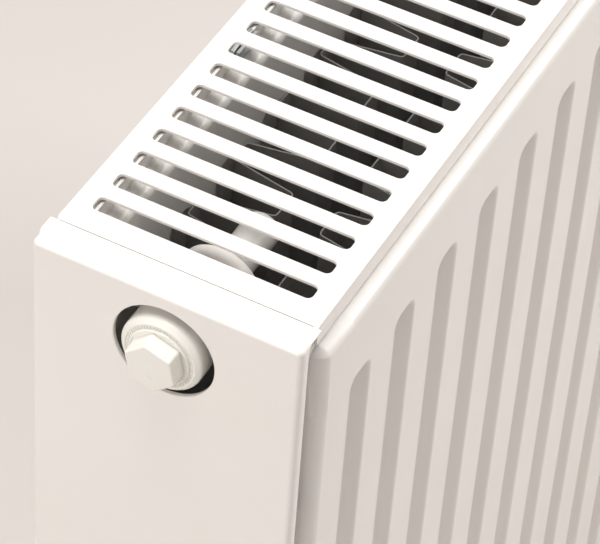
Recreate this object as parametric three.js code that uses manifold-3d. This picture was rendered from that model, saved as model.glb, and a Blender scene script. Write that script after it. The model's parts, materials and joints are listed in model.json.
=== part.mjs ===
// A double-panel steel radiator with a built-in valve.
// Millimetres, +Z up. X runs along the radiator, the room side faces -Y and the wall side faces +Y.
import * as THREE from 'three';
import { mergeVertices } from 'three/addons/utils/BufferGeometryUtils.js';
import Module from 'manifold-3d';

const wasm = await Module();
wasm.setup();

// ---- Driving dimensions ----
const LENGTH = 612;             // over the outer faces of the two side covers
const HEIGHT = 500;             // floor edge of the panels to the top of the grille
const DEPTH = 104;              // room face of the front panel to the wall face of the rear panel
const FIT_GAP = 0.3;            // clearance between pieces that touch

// Water panels: each is two pressed sheets, seam-welded round their rims
const SHEET = 1.2;
const RIM_HALF_LENGTH = 302.5;
const RIM_TOP = 497.5;
const PILLOW_HALF_LENGTH = 295.5;
const PILLOW_TOP = 491.5;
const PILLOW_BOTTOM = 8.5;
const PILLOW_RISE = 6.3;        // how far the pressed part stands out of the rim
const PILLOW_EDGE_RADIUS = 4;
const PILLOW_CORNER_RADIUS = 4;
const GROOVE_COUNT = 17;
const GROOVE_PITCH = 33.3;
const GROOVE_TOP = 460;
const GROOVE_BOTTOM = 40;
const GROOVE_MOUTH = 16;
const GROOVE_FLOOR = 7;
const GROOVE_DEPTH = 5;
const GROOVE_END_SLOPE = 5;
const SEAM_OFFSET = DEPTH / 2 - PILLOW_RISE - SHEET - FIT_GAP / 2;
const INNER_REACH = SEAM_OFFSET - PILLOW_RISE - SHEET - 1.5 * FIT_GAP; // free of both inner sheets

// Corner hubs, ports and what is screwed into them.
// Along a port, depth 0 is the outer face of the side cover and depth grows towards the middle.
const PORT_Y = 2.5;
const PORT_TOP_Z = HEIGHT - 26;
const PORT_BOTTOM_Z = 24;       // 450 below the top port
const HUB_MOUTH = 10;
const HUB_END = 40.3;
const HUB_RADIUS = 12.5;
const VALVE_HUB_RADIUS = 15;    // wider, round the valve seat
const HUB_BORE = 9.5;
const HUB_BORE_END = 37;
const CROSS_TUBE_DEPTH = 27;
const CROSS_TUBE_RADIUS = 10.5;
const CROSS_TUBE_BORE = 8;
const THREAD_RADIUS = 9.2;
const SEAL_RADIUS = 10.8;
const SEAL_SECTION = 0.7;
const COLLAR_END = 8;           // inner end of every collar, short of the hub mouth and its O-ring
const SEAT_FACE = 38;
const SEAT_BORE = 3.5;
const SEAT_END = 43;
const RISER_ARM_END = 70;
const RISER_ARM_RADIUS = 7;
const RISER_DEPTH = 62;
const RISER_RADIUS = 5;
const RISER_BORE = 3.8;
const NIPPLE_SPACING = 50;
const NIPPLE_RADIUS = 13.2;
const NIPPLE_BORE = 8;
const NIPPLE_BOTTOM = 3;
const NIPPLE_TOP = 30;
const BRACKET_BOTTOM = 11;
const BRACKET_TOP = 13;
const BRACKET_OVERHANG = 20;

// Convectors
const CONVECTOR_SHEET = 0.6;
const CONVECTOR_REACH = 28;
const CONVECTOR_TOP = 458;
const CONVECTOR_BOTTOM = 40;
const CONVECTOR_FOLDS = 16;
const NEAR_FLAT = [0.1, 0.4];   // shares of the groove pitch where a fold lies against the panel
const FAR_FLAT = [0.55, 0.95];  // and where it stands free

// Covers and grille
const COVER_SHEET = 1;
const COVER_FRONT_Y = -48.4;
const COVER_REAR_Y = 53.5;
const COVER_BOTTOM = 2;
const COVER_TOP_FLANGE = 12.8;
const COVER_LIP = 4.5;
const COVER_CORNER = 2.5;
const COVER_CORNER_Y = -47.4;
const COVER_FLOOR_FLANGE_HALF = 42;
const COVER_HOLE = 19.2;
const GRILLE_SHEET = 1;
const GRILLE_FRONT_Y = -47;
const GRILLE_REAR_Y = 51.7;
const GRILLE_SKIRT = 8;
const SLOT_COUNT = 43;
const SLOT_PITCH = 13.3;
const SLOT_WIDTH = 6.8;
const SLOT_FRONT_Y = -38.7;
const SLOT_REAR_Y = 44.6;
const SLOT_CORNER = 2.2;

// Valve cap: a disc with a raised ring and a hexagonal grip
const CAP_RADIUS = 15.5;
const CAP_FACE = -3.3;
const CAP_FACE_RADIUS = 11.4;
const CAP_STEP = 0.8;
const CAP_SHOULDER = 2.9;
const CAP_PLATE = 1.5;
const CAP_WALL = 1.45;
const CAP_SKIRT_END = 8;
const CAP_STEP_SLOPE = 0.6;
const CAP_SHOULDER_INSET = 1.9;
const CAP_SHOULDER_RISE = 1.1;
const CAP_EDGE_INSET = 0.4;
const GRIP_CORNER_RADIUS = 10.4;
const GRIP_RISE = 6.2;
const GRIP_TURN = THREE.MathUtils.degToRad(-12);

// Valve insert
const INSERT_START = 2.8;
const INSERT_HEAD_RADIUS = 13.7;
const INSERT_HEAD_END = 6.4;
const INSERT_COLLAR_RADIUS = 12.5;
const INSERT_THREAD_END = 24;
const INSERT_TAIL_RADIUS = 7;
const INSERT_TAIL_END = 33;
const CHAMBER_START = 12;
const CHAMBER_RADIUS = 6;
const GUIDE_START = 25;
const GUIDE_END = 28;
const GUIDE_BORE = 2.2;
const GLAND_START = 3.4;
const GLAND_END = 11;
const GLAND_RADIUS = 3.9;
const GLAND_BORE = 1.8;
const PIN_START = CAP_FACE + CAP_PLATE + FIT_GAP;
const PIN_RADIUS = 1.5;
const PIN_COLLAR_START = 12.4;
const PIN_COLLAR_END = 14;
const PIN_COLLAR_RADIUS = 3.8;
const PIN_END = 35.6;
const DISC_START = 33.5;
const DISC_END = 35.9;
const DISC_RADIUS = 5;
const SPRING_START = 14.9;
const SPRING_END = 24.1;
const SPRING_RADIUS = 3.6;
const SPRING_WIRE = 0.45;
const SPRING_TURNS = 5;

// Air vent
const VENT_START = 1;
const VENT_NECK_RADIUS = 7;
const VENT_NECK_END = 4;
const VENT_COLLAR_RADIUS = 13;
const VENT_END = 24;
const VENT_SCREW_BORE = 2.7;
const VENT_SCREW_BORE_END = 14;
const VENT_BORE = 1;
const NOZZLE_START = 0.4;
const NOZZLE_END = 3.7;
const NOZZLE_RADIUS = 11;
const NOZZLE_BORE = 7.3;
const SPOUT_END = 14.5;
const SPOUT_RADIUS = 1.6;
const SPOUT_BORE = 0.8;
const SCREW_RADIUS = 2.4;
const SCREW_START = 0.5;
const SCREW_END = 13;
const SCREW_HEAD_HALF = 2.5;
const SCREW_HEAD_START = -2.5;
const SCREW_HEAD_END = 0.8;
const SCREW_SEAL_RADIUS = 2.2;
const SCREW_SEAL_END = 13.8;

// Blind plugs
const PLUG_START = 3;
const PLUG_RADIUS = 15;
const PLUG_CHAMFER = 0.9;
const PLUG_END = 22;
const PLUG_SOCKET_RADIUS = 6;
const PLUG_SOCKET_END = 6.5;

// Hanging lugs
const LUG_X = 6 * GROOVE_PITCH;
const LUG_TOP_Z = 430;
const LUG_BOTTOM_Z = 70;
const LUG_SHEET = 2;
const LUG_HEIGHT = 46;
const LUG_STANDOFF = 10;
const LUG_HALF_LENGTH = 19;
const LUG_FOOT_INNER = 11;
const LUG_BRIDGE_HALF = 9;
const LUG_BEND_ALLOWANCE = 1.8;

// Spring clips
const CLIP_CLEARANCE = 0.2;
const CLIP_WALL = 0.5;
const CLIP_DEPTH = 5.5;
const CLIP_HALF_HEIGHT = 8;
const CLIP_TOP_Z = 420;
const CLIP_BOTTOM_Z = 80;
const LEAF_X = 180;
const LEAF_HALF_LENGTH = 7;
const LEAF_HALF_WIDTH = 1.8;
const LEAF_THICKNESS = 0.8;
const LEAF_INSET = 2;
const LEAF_CLEARANCE = 0.4;
const LEAF_LEG_HALF = 0.3;

// ---- Materials ----
const finish = (color, roughness, metalness) =>
  new THREE.MeshStandardMaterial({ color, roughness, metalness });
const paint = () => finish(0xefebe6, 0.35, 0);
const rawSteel = () => finish(0x8d8f92, 0.45, 0.9);
const galvanised = () => finish(0xb6babd, 0.4, 0.9);
const brass = () => finish(0xb9934a, 0.3, 1);
const plastic = () => finish(0xf1eee8, 0.4, 0);
const rubber = () => finish(0x1d1d1e, 0.8, 0);

// ---- Solid tools ----
function toSolid(geometry) {
  const bare = geometry.clone();
  bare.deleteAttribute('normal');
  bare.deleteAttribute('uv');
  const merged = mergeVertices(bare, 1e-4);
  const corners = merged.index.array;
  const kept = [];
  for (let i = 0; i < corners.length; i += 3) {
    const [a, b, c] = [corners[i], corners[i + 1], corners[i + 2]];
    if (a !== b && b !== c && c !== a) kept.push(a, b, c);
  }
  return new wasm.Manifold(new wasm.Mesh({
    numProp: 3,
    vertProperties: new Float32Array(merged.attributes.position.array),
    triVerts: new Uint32Array(kept),
  }));
}

function toGeometry(solid) {
  const { vertProperties, triVerts } = solid.getMesh();
  const geometry = new THREE.BufferGeometry();
  geometry.setAttribute('position', new THREE.BufferAttribute(new Float32Array(vertProperties), 3));
  geometry.setIndex(new THREE.BufferAttribute(new Uint32Array(triVerts), 1));
  geometry.computeVertexNormals();
  return geometry;
}

// A block between two opposite corners.
function block(low, high) {
  const size = high.map((value, i) => value - low[i]);
  const centre = high.map((value, i) => (value + low[i]) / 2);
  return toSolid(new THREE.BoxGeometry(...size).translate(...centre));
}

// A body turned about the X axis. The profile lists [depth along X, radius] from the low end outside
// to the high end and, when it is a ring, back along the inside.
function turned(profile, segments = 18) {
  const isRing = profile.every(([, radius]) => radius > 0);
  const outline = isRing ? [...profile, profile[0]] : profile;
  const points = outline.map(([depth, radius]) => new THREE.Vector2(radius, depth));
  return toSolid(new THREE.LatheGeometry(points, segments).rotateZ(-Math.PI / 2));
}

const rod = (from, to, radius, segments) =>
  turned([[from, 0], [from, radius], [to, radius], [to, 0]], segments);

const tube = (from, to, bore, radius, segments) =>
  turned([[from, bore], [from, radius], [to, radius], [to, bore]], segments);

const rodAlongY = (x, z, from, to, radius, segments = 14) => toSolid(
  new THREE.CylinderGeometry(radius, radius, to - from, segments).translate(x, (from + to) / 2, z));

const rodAlongZ = (x, y, from, to, radius, segments = 14) => toSolid(
  new THREE.CylinderGeometry(radius, radius, to - from, segments)
    .rotateX(Math.PI / 2).translate(x, y, (from + to) / 2));

function roundedRectangle(path, left, right, low, high, radius) {
  path.moveTo(left + radius, low);
  path.lineTo(right - radius, low);
  path.absarc(right - radius, low + radius, radius, -Math.PI / 2, 0, false);
  path.lineTo(right, high - radius);
  path.absarc(right - radius, high - radius, radius, 0, Math.PI / 2, false);
  path.lineTo(left + radius, high);
  path.absarc(left + radius, high - radius, radius, Math.PI / 2, Math.PI, false);
  path.lineTo(left, low + radius);
  path.absarc(left + radius, low + radius, radius, Math.PI, 1.5 * Math.PI, false);
  path.closePath();
  return path;
}

const part = (name, solid, material) => {
  const mesh = new THREE.Mesh(toGeometry(solid), material);
  mesh.name = name;
  return mesh;
};

// ---- Water panels ----
// The raised part of a pressed sheet, from y = back to y = -front, with a rounded front edge.
function pillow(inset, front, back) {
  const edge = PILLOW_EDGE_RADIUS - inset;
  const shape = roundedRectangle(
    new THREE.Shape(),
    -PILLOW_HALF_LENGTH + inset + edge, PILLOW_HALF_LENGTH - inset - edge,
    PILLOW_BOTTOM + inset + edge, PILLOW_TOP - inset - edge,
    PILLOW_CORNER_RADIUS);
  const swept = new THREE.ExtrudeGeometry(shape, {
    depth: front, bevelThickness: edge, bevelSize: edge, bevelSegments: 2, curveSegments: 1,
  });
  swept.translate(0, 0, -edge).rotateX(Math.PI / 2);
  const inFront = block([-LENGTH, -front - 1, -HEIGHT], [LENGTH, back, 2 * HEIGHT]);
  return toSolid(swept).intersect(inFront);
}

// The wedge-sided body of one vertical groove, grown by the sheet thickness for its back side.
function groove(x, growth) {
  const face = PILLOW_RISE + SHEET + FIT_GAP / 2;
  const sideSlope = (GROOVE_MOUTH - GROOVE_FLOOR) / 2 / GROOVE_DEPTH;
  const endSlope = GROOVE_END_SLOPE / GROOVE_DEPTH;
  const lift = 1;
  const mouth = GROOVE_MOUTH / 2 + growth + lift * sideSlope;
  const floor = GROOVE_FLOOR / 2 + growth - growth * sideSlope;
  const middle = (GROOVE_TOP + GROOVE_BOTTOM) / 2;
  const halfMouth = (GROOVE_TOP - GROOVE_BOTTOM) / 2 + growth + lift * endSlope;
  const halfFloor = (GROOVE_TOP - GROOVE_BOTTOM) / 2 - GROOVE_END_SLOPE + growth - growth * endSlope;
  const wedge = new THREE.BoxGeometry(2, 2, 2);
  const corners = wedge.attributes.position;
  for (let i = 0; i < corners.count; i += 1) {
    const isMouth = corners.getY(i) < 0;
    corners.setXYZ(
      i,
      x + corners.getX(i) * (isMouth ? mouth : floor),
      isMouth ? -face - lift : -face + GROOVE_DEPTH + growth,
      middle + corners.getZ(i) * (isMouth ? halfMouth : halfFloor));
  }
  return toSolid(wedge);
}

function panelSheet(name, hasPorts) {
  const face = PILLOW_RISE + SHEET + FIT_GAP / 2;
  let outside = pillow(0, face, -FIT_GAP / 2);
  let hollow = pillow(SHEET, face - SHEET, 1);
  for (let i = 0; i < GROOVE_COUNT; i += 1) {
    const x = (i - (GROOVE_COUNT - 1) / 2) * GROOVE_PITCH;
    outside = outside.subtract(groove(x, 0));
    hollow = hollow.subtract(groove(x, SHEET));
  }
  const rim = block(
    [-RIM_HALF_LENGTH, -SHEET - FIT_GAP / 2, 0], [RIM_HALF_LENGTH, -FIT_GAP / 2, RIM_TOP]);
  let sheet = outside.add(rim).subtract(hollow);
  if (hasPorts) {
    for (const x of [-1, 1]) {
      for (const z of [PORT_BOTTOM_Z, PORT_TOP_Z]) {
        const portX = x * (LENGTH / 2 - CROSS_TUBE_DEPTH);
        sheet = sheet.subtract(rodAlongY(portX, z, -face - 1, 1, CROSS_TUBE_BORE));
      }
    }
  }
  return part(name, sheet, paint());
}

function waterPanel(place) {
  const panel = new THREE.Group();
  const facesRoom = place === 'front';
  const roomSheet = panelSheet(`${place}_panel_${facesRoom ? 'outer' : 'inner'}_sheet`, !facesRoom);
  const wallSheet = panelSheet(`${place}_panel_${facesRoom ? 'inner' : 'outer'}_sheet`, facesRoom);
  wallSheet.rotation.z = Math.PI;
  panel.add(roomSheet, wallSheet);
  panel.position.y = facesRoom ? -SEAM_OFFSET : SEAM_OFFSET;
  return panel;
}

// ---- Convectors ----
function convector(name, turn) {
  const half = CONVECTOR_SHEET / 2;
  const near = INNER_REACH - half;
  const far = INNER_REACH - CONVECTOR_REACH + half;
  const pitch = GROOVE_PITCH;
  const line = [];
  for (let i = 0; i < CONVECTOR_FOLDS; i += 1) {
    const x = (i - CONVECTOR_FOLDS / 2) * pitch;
    line.push(...NEAR_FLAT.map((share) => [x + share * pitch, near]));
    line.push(...FAR_FLAT.map((share) => [x + share * pitch, far]));
  }
  const offsetLine = (side) => line.map(([x, y], i) => {
    const previous = line[Math.max(i - 1, 0)];
    const next = line[Math.min(i + 1, line.length - 1)];
    const before = new THREE.Vector2(x - previous[0], y - previous[1]).normalize();
    const after = new THREE.Vector2(next[0] - x, next[1] - y).normalize();
    const along = before.clone().add(after).normalize();
    const across = new THREE.Vector2(-along.y, along.x);
    const reference = before.lengthSq() > 0 ? before : after;
    const spread = half / Math.abs(across.dot(new THREE.Vector2(-reference.y, reference.x)));
    return new THREE.Vector2(x + across.x * spread * side, y + across.y * spread * side);
  });
  const shape = new THREE.Shape([...offsetLine(1), ...offsetLine(-1).reverse()]);
  const height = CONVECTOR_TOP - CONVECTOR_BOTTOM;
  const fins = new THREE.ExtrudeGeometry(shape, { depth: height, bevelEnabled: false });
  fins.translate(0, 0, CONVECTOR_BOTTOM);
  const mesh = part(name, toSolid(fins), paint());
  mesh.rotation.z = turn;
  return mesh;
}

// ---- Corner hubs ----
// Corner pieces are built with X as the depth along the port, and set at their corner by portGroup.
function hub(name, side, feedsRiser) {
  const crossFrom = side * PORT_Y - INNER_REACH;
  const crossTo = side * PORT_Y + INNER_REACH;
  let body = rod(HUB_MOUTH, HUB_END, feedsRiser ? VALVE_HUB_RADIUS : HUB_RADIUS, 24);
  body = body.add(rodAlongY(CROSS_TUBE_DEPTH, 0, crossFrom, crossTo, CROSS_TUBE_RADIUS));
  if (feedsRiser) {
    body = body.add(rod(HUB_END - 1, RISER_ARM_END, RISER_ARM_RADIUS));
    body = body.subtract(rod(HUB_MOUTH - 1, SEAT_FACE, HUB_BORE));
    body = body.subtract(rod(SEAT_FACE - 1, SEAT_END + 1, SEAT_BORE));
    body = body.subtract(rod(SEAT_END, RISER_ARM_END - 3, RISER_RADIUS));
    body = body.subtract(rodAlongZ(RISER_DEPTH, 0, -HUB_RADIUS, 0, RISER_BORE));
  } else {
    body = body.subtract(rod(HUB_MOUTH - 1, HUB_BORE_END, HUB_BORE));
  }
  body = body.subtract(rodAlongY(CROSS_TUBE_DEPTH, 0, crossFrom - 1, crossTo + 1, CROSS_TUBE_BORE));
  return part(name, body, paint());
}

function portGroup(side, z, ...pieces) {
  const group = new THREE.Group();
  group.position.set(side * LENGTH / 2, PORT_Y, z);
  group.rotation.z = side < 0 ? 0 : Math.PI;
  group.add(...pieces);
  return group;
}

// An O-ring round the neck of a screwed-in piece, between its collar and the hub mouth.
function sealRing(name) {
  const middle = HUB_MOUTH - FIT_GAP - SEAL_SECTION;
  const sides = 5;
  const profile = [];
  for (let i = 0; i < sides; i += 1) {
    const angle = -2 * Math.PI * i / sides;
    profile.push([
      middle + SEAL_SECTION * Math.cos(angle), SEAL_RADIUS - SEAL_SECTION * Math.sin(angle)]);
  }
  return part(name, turned(profile.reverse(), 16), rubber());
}

// ---- Valve ----
function valveBody() {
  const body = turned([
    [INSERT_START, GLAND_RADIUS + FIT_GAP], [INSERT_START, INSERT_HEAD_RADIUS],
    [INSERT_HEAD_END, INSERT_HEAD_RADIUS], [INSERT_HEAD_END, INSERT_COLLAR_RADIUS],
    [COLLAR_END, INSERT_COLLAR_RADIUS], [COLLAR_END, THREAD_RADIUS],
    [INSERT_THREAD_END, THREAD_RADIUS], [INSERT_THREAD_END, INSERT_TAIL_RADIUS],
    [INSERT_TAIL_END, INSERT_TAIL_RADIUS], [INSERT_TAIL_END, CHAMBER_RADIUS],
    [GUIDE_END, CHAMBER_RADIUS], [GUIDE_END, GUIDE_BORE], [GUIDE_START, GUIDE_BORE],
    [GUIDE_START, CHAMBER_RADIUS], [CHAMBER_START, CHAMBER_RADIUS],
    [CHAMBER_START, GLAND_RADIUS + FIT_GAP],
  ], 20);
  return part('valve_insert_body', body, brass());
}


const valveGland = () =>
  part('valve_gland', tube(GLAND_START, GLAND_END, GLAND_BORE, GLAND_RADIUS, 16), brass());

const valvePin = () => part('valve_pin', turned([
  [PIN_START, 0], [PIN_START, PIN_RADIUS], [PIN_COLLAR_START, PIN_RADIUS],
  [PIN_COLLAR_START, PIN_COLLAR_RADIUS], [PIN_COLLAR_END, PIN_COLLAR_RADIUS],
  [PIN_COLLAR_END, PIN_RADIUS], [PIN_END, PIN_RADIUS], [PIN_END, 0],
], 12), galvanised());

const valveDisc = () =>
  part('valve_disc', tube(DISC_START, DISC_END, PIN_RADIUS + FIT_GAP, DISC_RADIUS, 14), rubber());

class Helix extends THREE.Curve {
  constructor(from, to, radius, turns) {
    super();
    Object.assign(this, { from, to, radius, turns });
  }

  getPoint(t, target = new THREE.Vector3()) {
    const angle = 2 * Math.PI * this.turns * t;
    return target.set(
      THREE.MathUtils.lerp(this.from, this.to, t),
      this.radius * Math.cos(angle),
      this.radius * Math.sin(angle));
  }
}

function valveSpring() {
  const section = new THREE.Shape();
  section.absarc(0, 0, SPRING_WIRE, 0, 2 * Math.PI, false);
  const coil = new THREE.ExtrudeGeometry(section, {
    extrudePath: new Helix(SPRING_START, SPRING_END, SPRING_RADIUS, SPRING_TURNS),
    steps: SPRING_TURNS * 9, curveSegments: 2, bevelEnabled: false,
  });
  return part('valve_spring', toSolid(coil), galvanised());
}

function valveCap() {
  const rim = CAP_RADIUS;
  const inside = CAP_FACE + CAP_PLATE;
  const step = CAP_FACE + CAP_STEP;
  const shoulder = CAP_FACE + CAP_SHOULDER;
  const shell = turned([
    [CAP_FACE, 0], [CAP_FACE, CAP_FACE_RADIUS], [step, CAP_FACE_RADIUS + CAP_STEP_SLOPE],
    [step, rim - CAP_SHOULDER_INSET],
    [shoulder - CAP_SHOULDER_RISE, rim - CAP_EDGE_INSET], [shoulder, rim], [CAP_SKIRT_END, rim],
    [CAP_SKIRT_END, rim - CAP_WALL], [inside, rim - CAP_WALL], [inside, 0],
  ], 28);
  const grip = toSolid(new THREE.CylinderGeometry(
    GRIP_CORNER_RADIUS, GRIP_CORNER_RADIUS, GRIP_RISE + CAP_PLATE / 2, 6)
    .rotateZ(-Math.PI / 2)
    .translate(CAP_FACE - (GRIP_RISE - CAP_PLATE / 2) / 2, 0, 0)
    .rotateX(GRIP_TURN));
  return part('valve_cap', shell.add(grip), plastic());
}

// ---- Air vent ----
function ventBody() {
  const neck = turned([
    [VENT_START, VENT_SCREW_BORE], [VENT_START, VENT_NECK_RADIUS],
    [VENT_NECK_END, VENT_NECK_RADIUS], [VENT_NECK_END, VENT_COLLAR_RADIUS],
    [COLLAR_END, VENT_COLLAR_RADIUS], [COLLAR_END, THREAD_RADIUS], [VENT_END, THREAD_RADIUS],
    [VENT_END, VENT_BORE], [VENT_SCREW_BORE_END, VENT_BORE], [VENT_SCREW_BORE_END, VENT_SCREW_BORE],
  ], 18);
  return part('vent_plug_body', neck, galvanised());
}

function ventNozzle() {
  const middle = (NOZZLE_START + NOZZLE_END) / 2;
  const ring = turned([
    [NOZZLE_START, NOZZLE_BORE], [NOZZLE_START, NOZZLE_RADIUS - 0.6], [NOZZLE_END, NOZZLE_RADIUS],
    [NOZZLE_END, NOZZLE_BORE],
  ], 20);
  const spout = rodAlongZ(middle, 0, -SPOUT_END, 2 - NOZZLE_RADIUS, SPOUT_RADIUS, 10);
  const bore = rodAlongZ(middle, 0, -SPOUT_END - 1, 1 - NOZZLE_BORE, SPOUT_BORE, 8);
  return part('vent_nozzle', ring.add(spout).subtract(bore), plastic());
}

function bleedScrew() {
  const shank = rod(SCREW_START, SCREW_END, SCREW_RADIUS, 16);
  const head = block(
    [SCREW_HEAD_START, -SCREW_HEAD_HALF, -SCREW_HEAD_HALF],
    [SCREW_HEAD_END, SCREW_HEAD_HALF, SCREW_HEAD_HALF]);
  return part('bleed_screw', shank.add(head), brass());
}

const bleedScrewSeal = () => part(
  'bleed_screw_seal', rod(SCREW_END + FIT_GAP, SCREW_SEAL_END, SCREW_SEAL_RADIUS, 16), rubber());

// ---- Blind plugs ----
function blindPlug(name) {
  const plug = turned([
    [PLUG_START, 0], [PLUG_START, PLUG_RADIUS - PLUG_CHAMFER],
    [PLUG_START + PLUG_CHAMFER, PLUG_RADIUS], [COLLAR_END, PLUG_RADIUS],
    [COLLAR_END, THREAD_RADIUS], [PLUG_END, THREAD_RADIUS], [PLUG_END, 0],
  ], 20);
  const socket = rod(PLUG_START - 1, PLUG_SOCKET_END, PLUG_SOCKET_RADIUS, 6);
  return part(name, plug.subtract(socket), paint());
}

// ---- Pipework for the valve ----
const riserX = -LENGTH / 2 + RISER_DEPTH;

function riserPipe() {
  const from = NIPPLE_TOP + FIT_GAP;
  const to = PORT_TOP_Z - RISER_ARM_RADIUS - FIT_GAP;
  const pipe = rodAlongZ(riserX, PORT_Y, from, to, RISER_RADIUS, 16)
    .subtract(rodAlongZ(riserX, PORT_Y, from - 1, to + 1, RISER_BORE, 16));
  return part('riser_pipe', pipe, rawSteel());
}

function flowNipple() {
  const nipple = rodAlongZ(riserX, PORT_Y, NIPPLE_BOTTOM, NIPPLE_TOP, NIPPLE_RADIUS, 24)
    .subtract(rodAlongZ(riserX, PORT_Y, NIPPLE_BOTTOM - 1, NIPPLE_TOP - 4, NIPPLE_BORE))
    .subtract(rodAlongZ(riserX, PORT_Y, NIPPLE_BOTTOM, NIPPLE_TOP + 1, RISER_BORE));
  return part('flow_nipple', nipple, galvanised());
}

function returnTee() {
  const x = riserX + NIPPLE_SPACING;
  const tee = rodAlongZ(x, PORT_Y, NIPPLE_BOTTOM, PORT_BOTTOM_Z, NIPPLE_RADIUS, 24)
    .add(rodAlongY(x, PORT_BOTTOM_Z, -INNER_REACH, INNER_REACH, CROSS_TUBE_RADIUS))
    .subtract(rodAlongZ(x, PORT_Y, NIPPLE_BOTTOM - 1, PORT_BOTTOM_Z, NIPPLE_BORE))
    .subtract(rodAlongY(x, PORT_BOTTOM_Z, -INNER_REACH - 1, INNER_REACH + 1, CROSS_TUBE_BORE));
  return part('return_tee', tee, galvanised());
}

// A plate between the two panels that steadies the flow and return nipples.
function nippleBracket() {
  let plate = block(
    [riserX - BRACKET_OVERHANG, -INNER_REACH, BRACKET_BOTTOM],
    [riserX + NIPPLE_SPACING + BRACKET_OVERHANG, INNER_REACH, BRACKET_TOP]);
  for (const x of [riserX, riserX + NIPPLE_SPACING]) {
    plate = plate.subtract(
      rodAlongZ(x, PORT_Y, BRACKET_BOTTOM - 1, BRACKET_TOP + 1, NIPPLE_RADIUS + FIT_GAP, 24));
  }
  return part('nipple_bracket', plate, galvanised());
}

// ---- Covers ----
function sideCover(name, side) {
  const outer = side * LENGTH / 2;
  const inward = -side;
  const slab = (width, y0, y1, z0, z1) => {
    const xs = [outer, outer + inward * width].sort((a, b) => a - b);
    return block([xs[0], y0, z0], [xs[1], y1, z1]);
  };
  const outline = new THREE.Shape();
  outline.moveTo(COVER_REAR_Y, COVER_BOTTOM);
  outline.lineTo(COVER_REAR_Y, HEIGHT);
  outline.lineTo(COVER_CORNER_Y, HEIGHT);
  outline.lineTo(COVER_FRONT_Y, HEIGHT - COVER_CORNER);
  outline.lineTo(COVER_FRONT_Y, COVER_BOTTOM);
  outline.closePath();
  for (const z of [PORT_BOTTOM_Z, PORT_TOP_Z]) {
    const hole = new THREE.Path();
    hole.absarc(PORT_Y, z, COVER_HOLE, 0, 2 * Math.PI, false);
    outline.holes.push(hole);
  }
  const face = new THREE.ExtrudeGeometry(outline, {
    depth: COVER_SHEET, bevelEnabled: false, curveSegments: 14,
  });
  face.rotateX(Math.PI / 2).rotateZ(Math.PI / 2);
  face.translate(Math.min(outer, outer + inward * COVER_SHEET), 0, 0);
  const cornerZ = HEIGHT - COVER_CORNER;
  const half = COVER_FLOOR_FLANGE_HALF;
  const cover = toSolid(face)
    .add(slab(COVER_TOP_FLANGE, COVER_CORNER_Y, COVER_REAR_Y, HEIGHT - COVER_SHEET, HEIGHT))
    .add(slab(COVER_LIP, COVER_FRONT_Y, COVER_FRONT_Y + COVER_SHEET, COVER_BOTTOM, cornerZ))
    .add(slab(COVER_LIP, COVER_REAR_Y - COVER_SHEET, COVER_REAR_Y, COVER_BOTTOM, HEIGHT))
    .add(slab(COVER_TOP_FLANGE, -half, half, COVER_BOTTOM, COVER_BOTTOM + COVER_SHEET));
  return part(name, cover, paint());
}

function topGrille() {
  const end = LENGTH / 2 - COVER_TOP_FLANGE - FIT_GAP;
  const outline = new THREE.Shape();
  outline.moveTo(-end, GRILLE_FRONT_Y);
  outline.lineTo(end, GRILLE_FRONT_Y);
  outline.lineTo(end, GRILLE_REAR_Y);
  outline.lineTo(-end, GRILLE_REAR_Y);
  outline.closePath();
  for (let i = 0; i < SLOT_COUNT; i += 1) {
    const x = (i - (SLOT_COUNT - 1) / 2) * SLOT_PITCH;
    outline.holes.push(roundedRectangle(
      new THREE.Path(), x - SLOT_WIDTH / 2, x + SLOT_WIDTH / 2, SLOT_FRONT_Y, SLOT_REAR_Y, SLOT_CORNER));
  }
  const plate = new THREE.ExtrudeGeometry(outline, {
    depth: GRILLE_SHEET, bevelEnabled: false, curveSegments: 1,
  });
  plate.translate(0, 0, HEIGHT - GRILLE_SHEET);
  const skirt = (y) => block(
    [-end, y, HEIGHT - GRILLE_SKIRT], [end, y + GRILLE_SHEET - FIT_GAP, HEIGHT - GRILLE_SHEET / 2]);
  const grille = toSolid(plate)
    .add(skirt(GRILLE_FRONT_Y))
    .add(skirt(GRILLE_REAR_Y - GRILLE_SHEET + FIT_GAP));
  return part('top_grille', grille, paint());
}

// A spring leaf under the grille that grips behind the rim of a panel.
function grilleClip(name, x, side) {
  const top = HEIGHT - GRILLE_SHEET - FIT_GAP;
  const y = side * (SEAM_OFFSET - LEAF_INSET);
  const leaf = block(
    [x - LEAF_HALF_LENGTH, y - LEAF_HALF_WIDTH, top - LEAF_THICKNESS],
    [x + LEAF_HALF_LENGTH, y + LEAF_HALF_WIDTH, top]);
  const leg = block(
    [x - LEAF_HALF_LENGTH, y - LEAF_LEG_HALF, PILLOW_TOP + LEAF_CLEARANCE],
    [x + LEAF_HALF_LENGTH, y + LEAF_LEG_HALF, top]);
  return part(name, leaf.add(leg), galvanised());
}

// A U-shaped spring clip over the upright rim of a panel, which the side cover snaps onto.
function coverClip(name, side, y, z) {
  const gapHalf = SHEET + FIT_GAP / 2 + CLIP_CLEARANCE;
  const outHalf = gapHalf + CLIP_WALL;
  const rimEnd = RIM_HALF_LENGTH + FIT_GAP;
  const opening = RIM_HALF_LENGTH - CLIP_DEPTH;
  const xs = (from, to) => [side * from, side * to].sort((a, b) => a - b);
  const [outLow, outHigh] = xs(opening, rimEnd + CLIP_WALL);
  const [inLow, inHigh] = xs(opening - 1, rimEnd);
  const half = CLIP_HALF_HEIGHT;
  const clip = block([outLow, y - outHalf, z - half], [outHigh, y + outHalf, z + half])
    .subtract(block([inLow, y - gapHalf, z - half - 1], [inHigh, y + gapHalf, z + half + 1]));
  return part(name, clip, galvanised());
}

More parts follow.
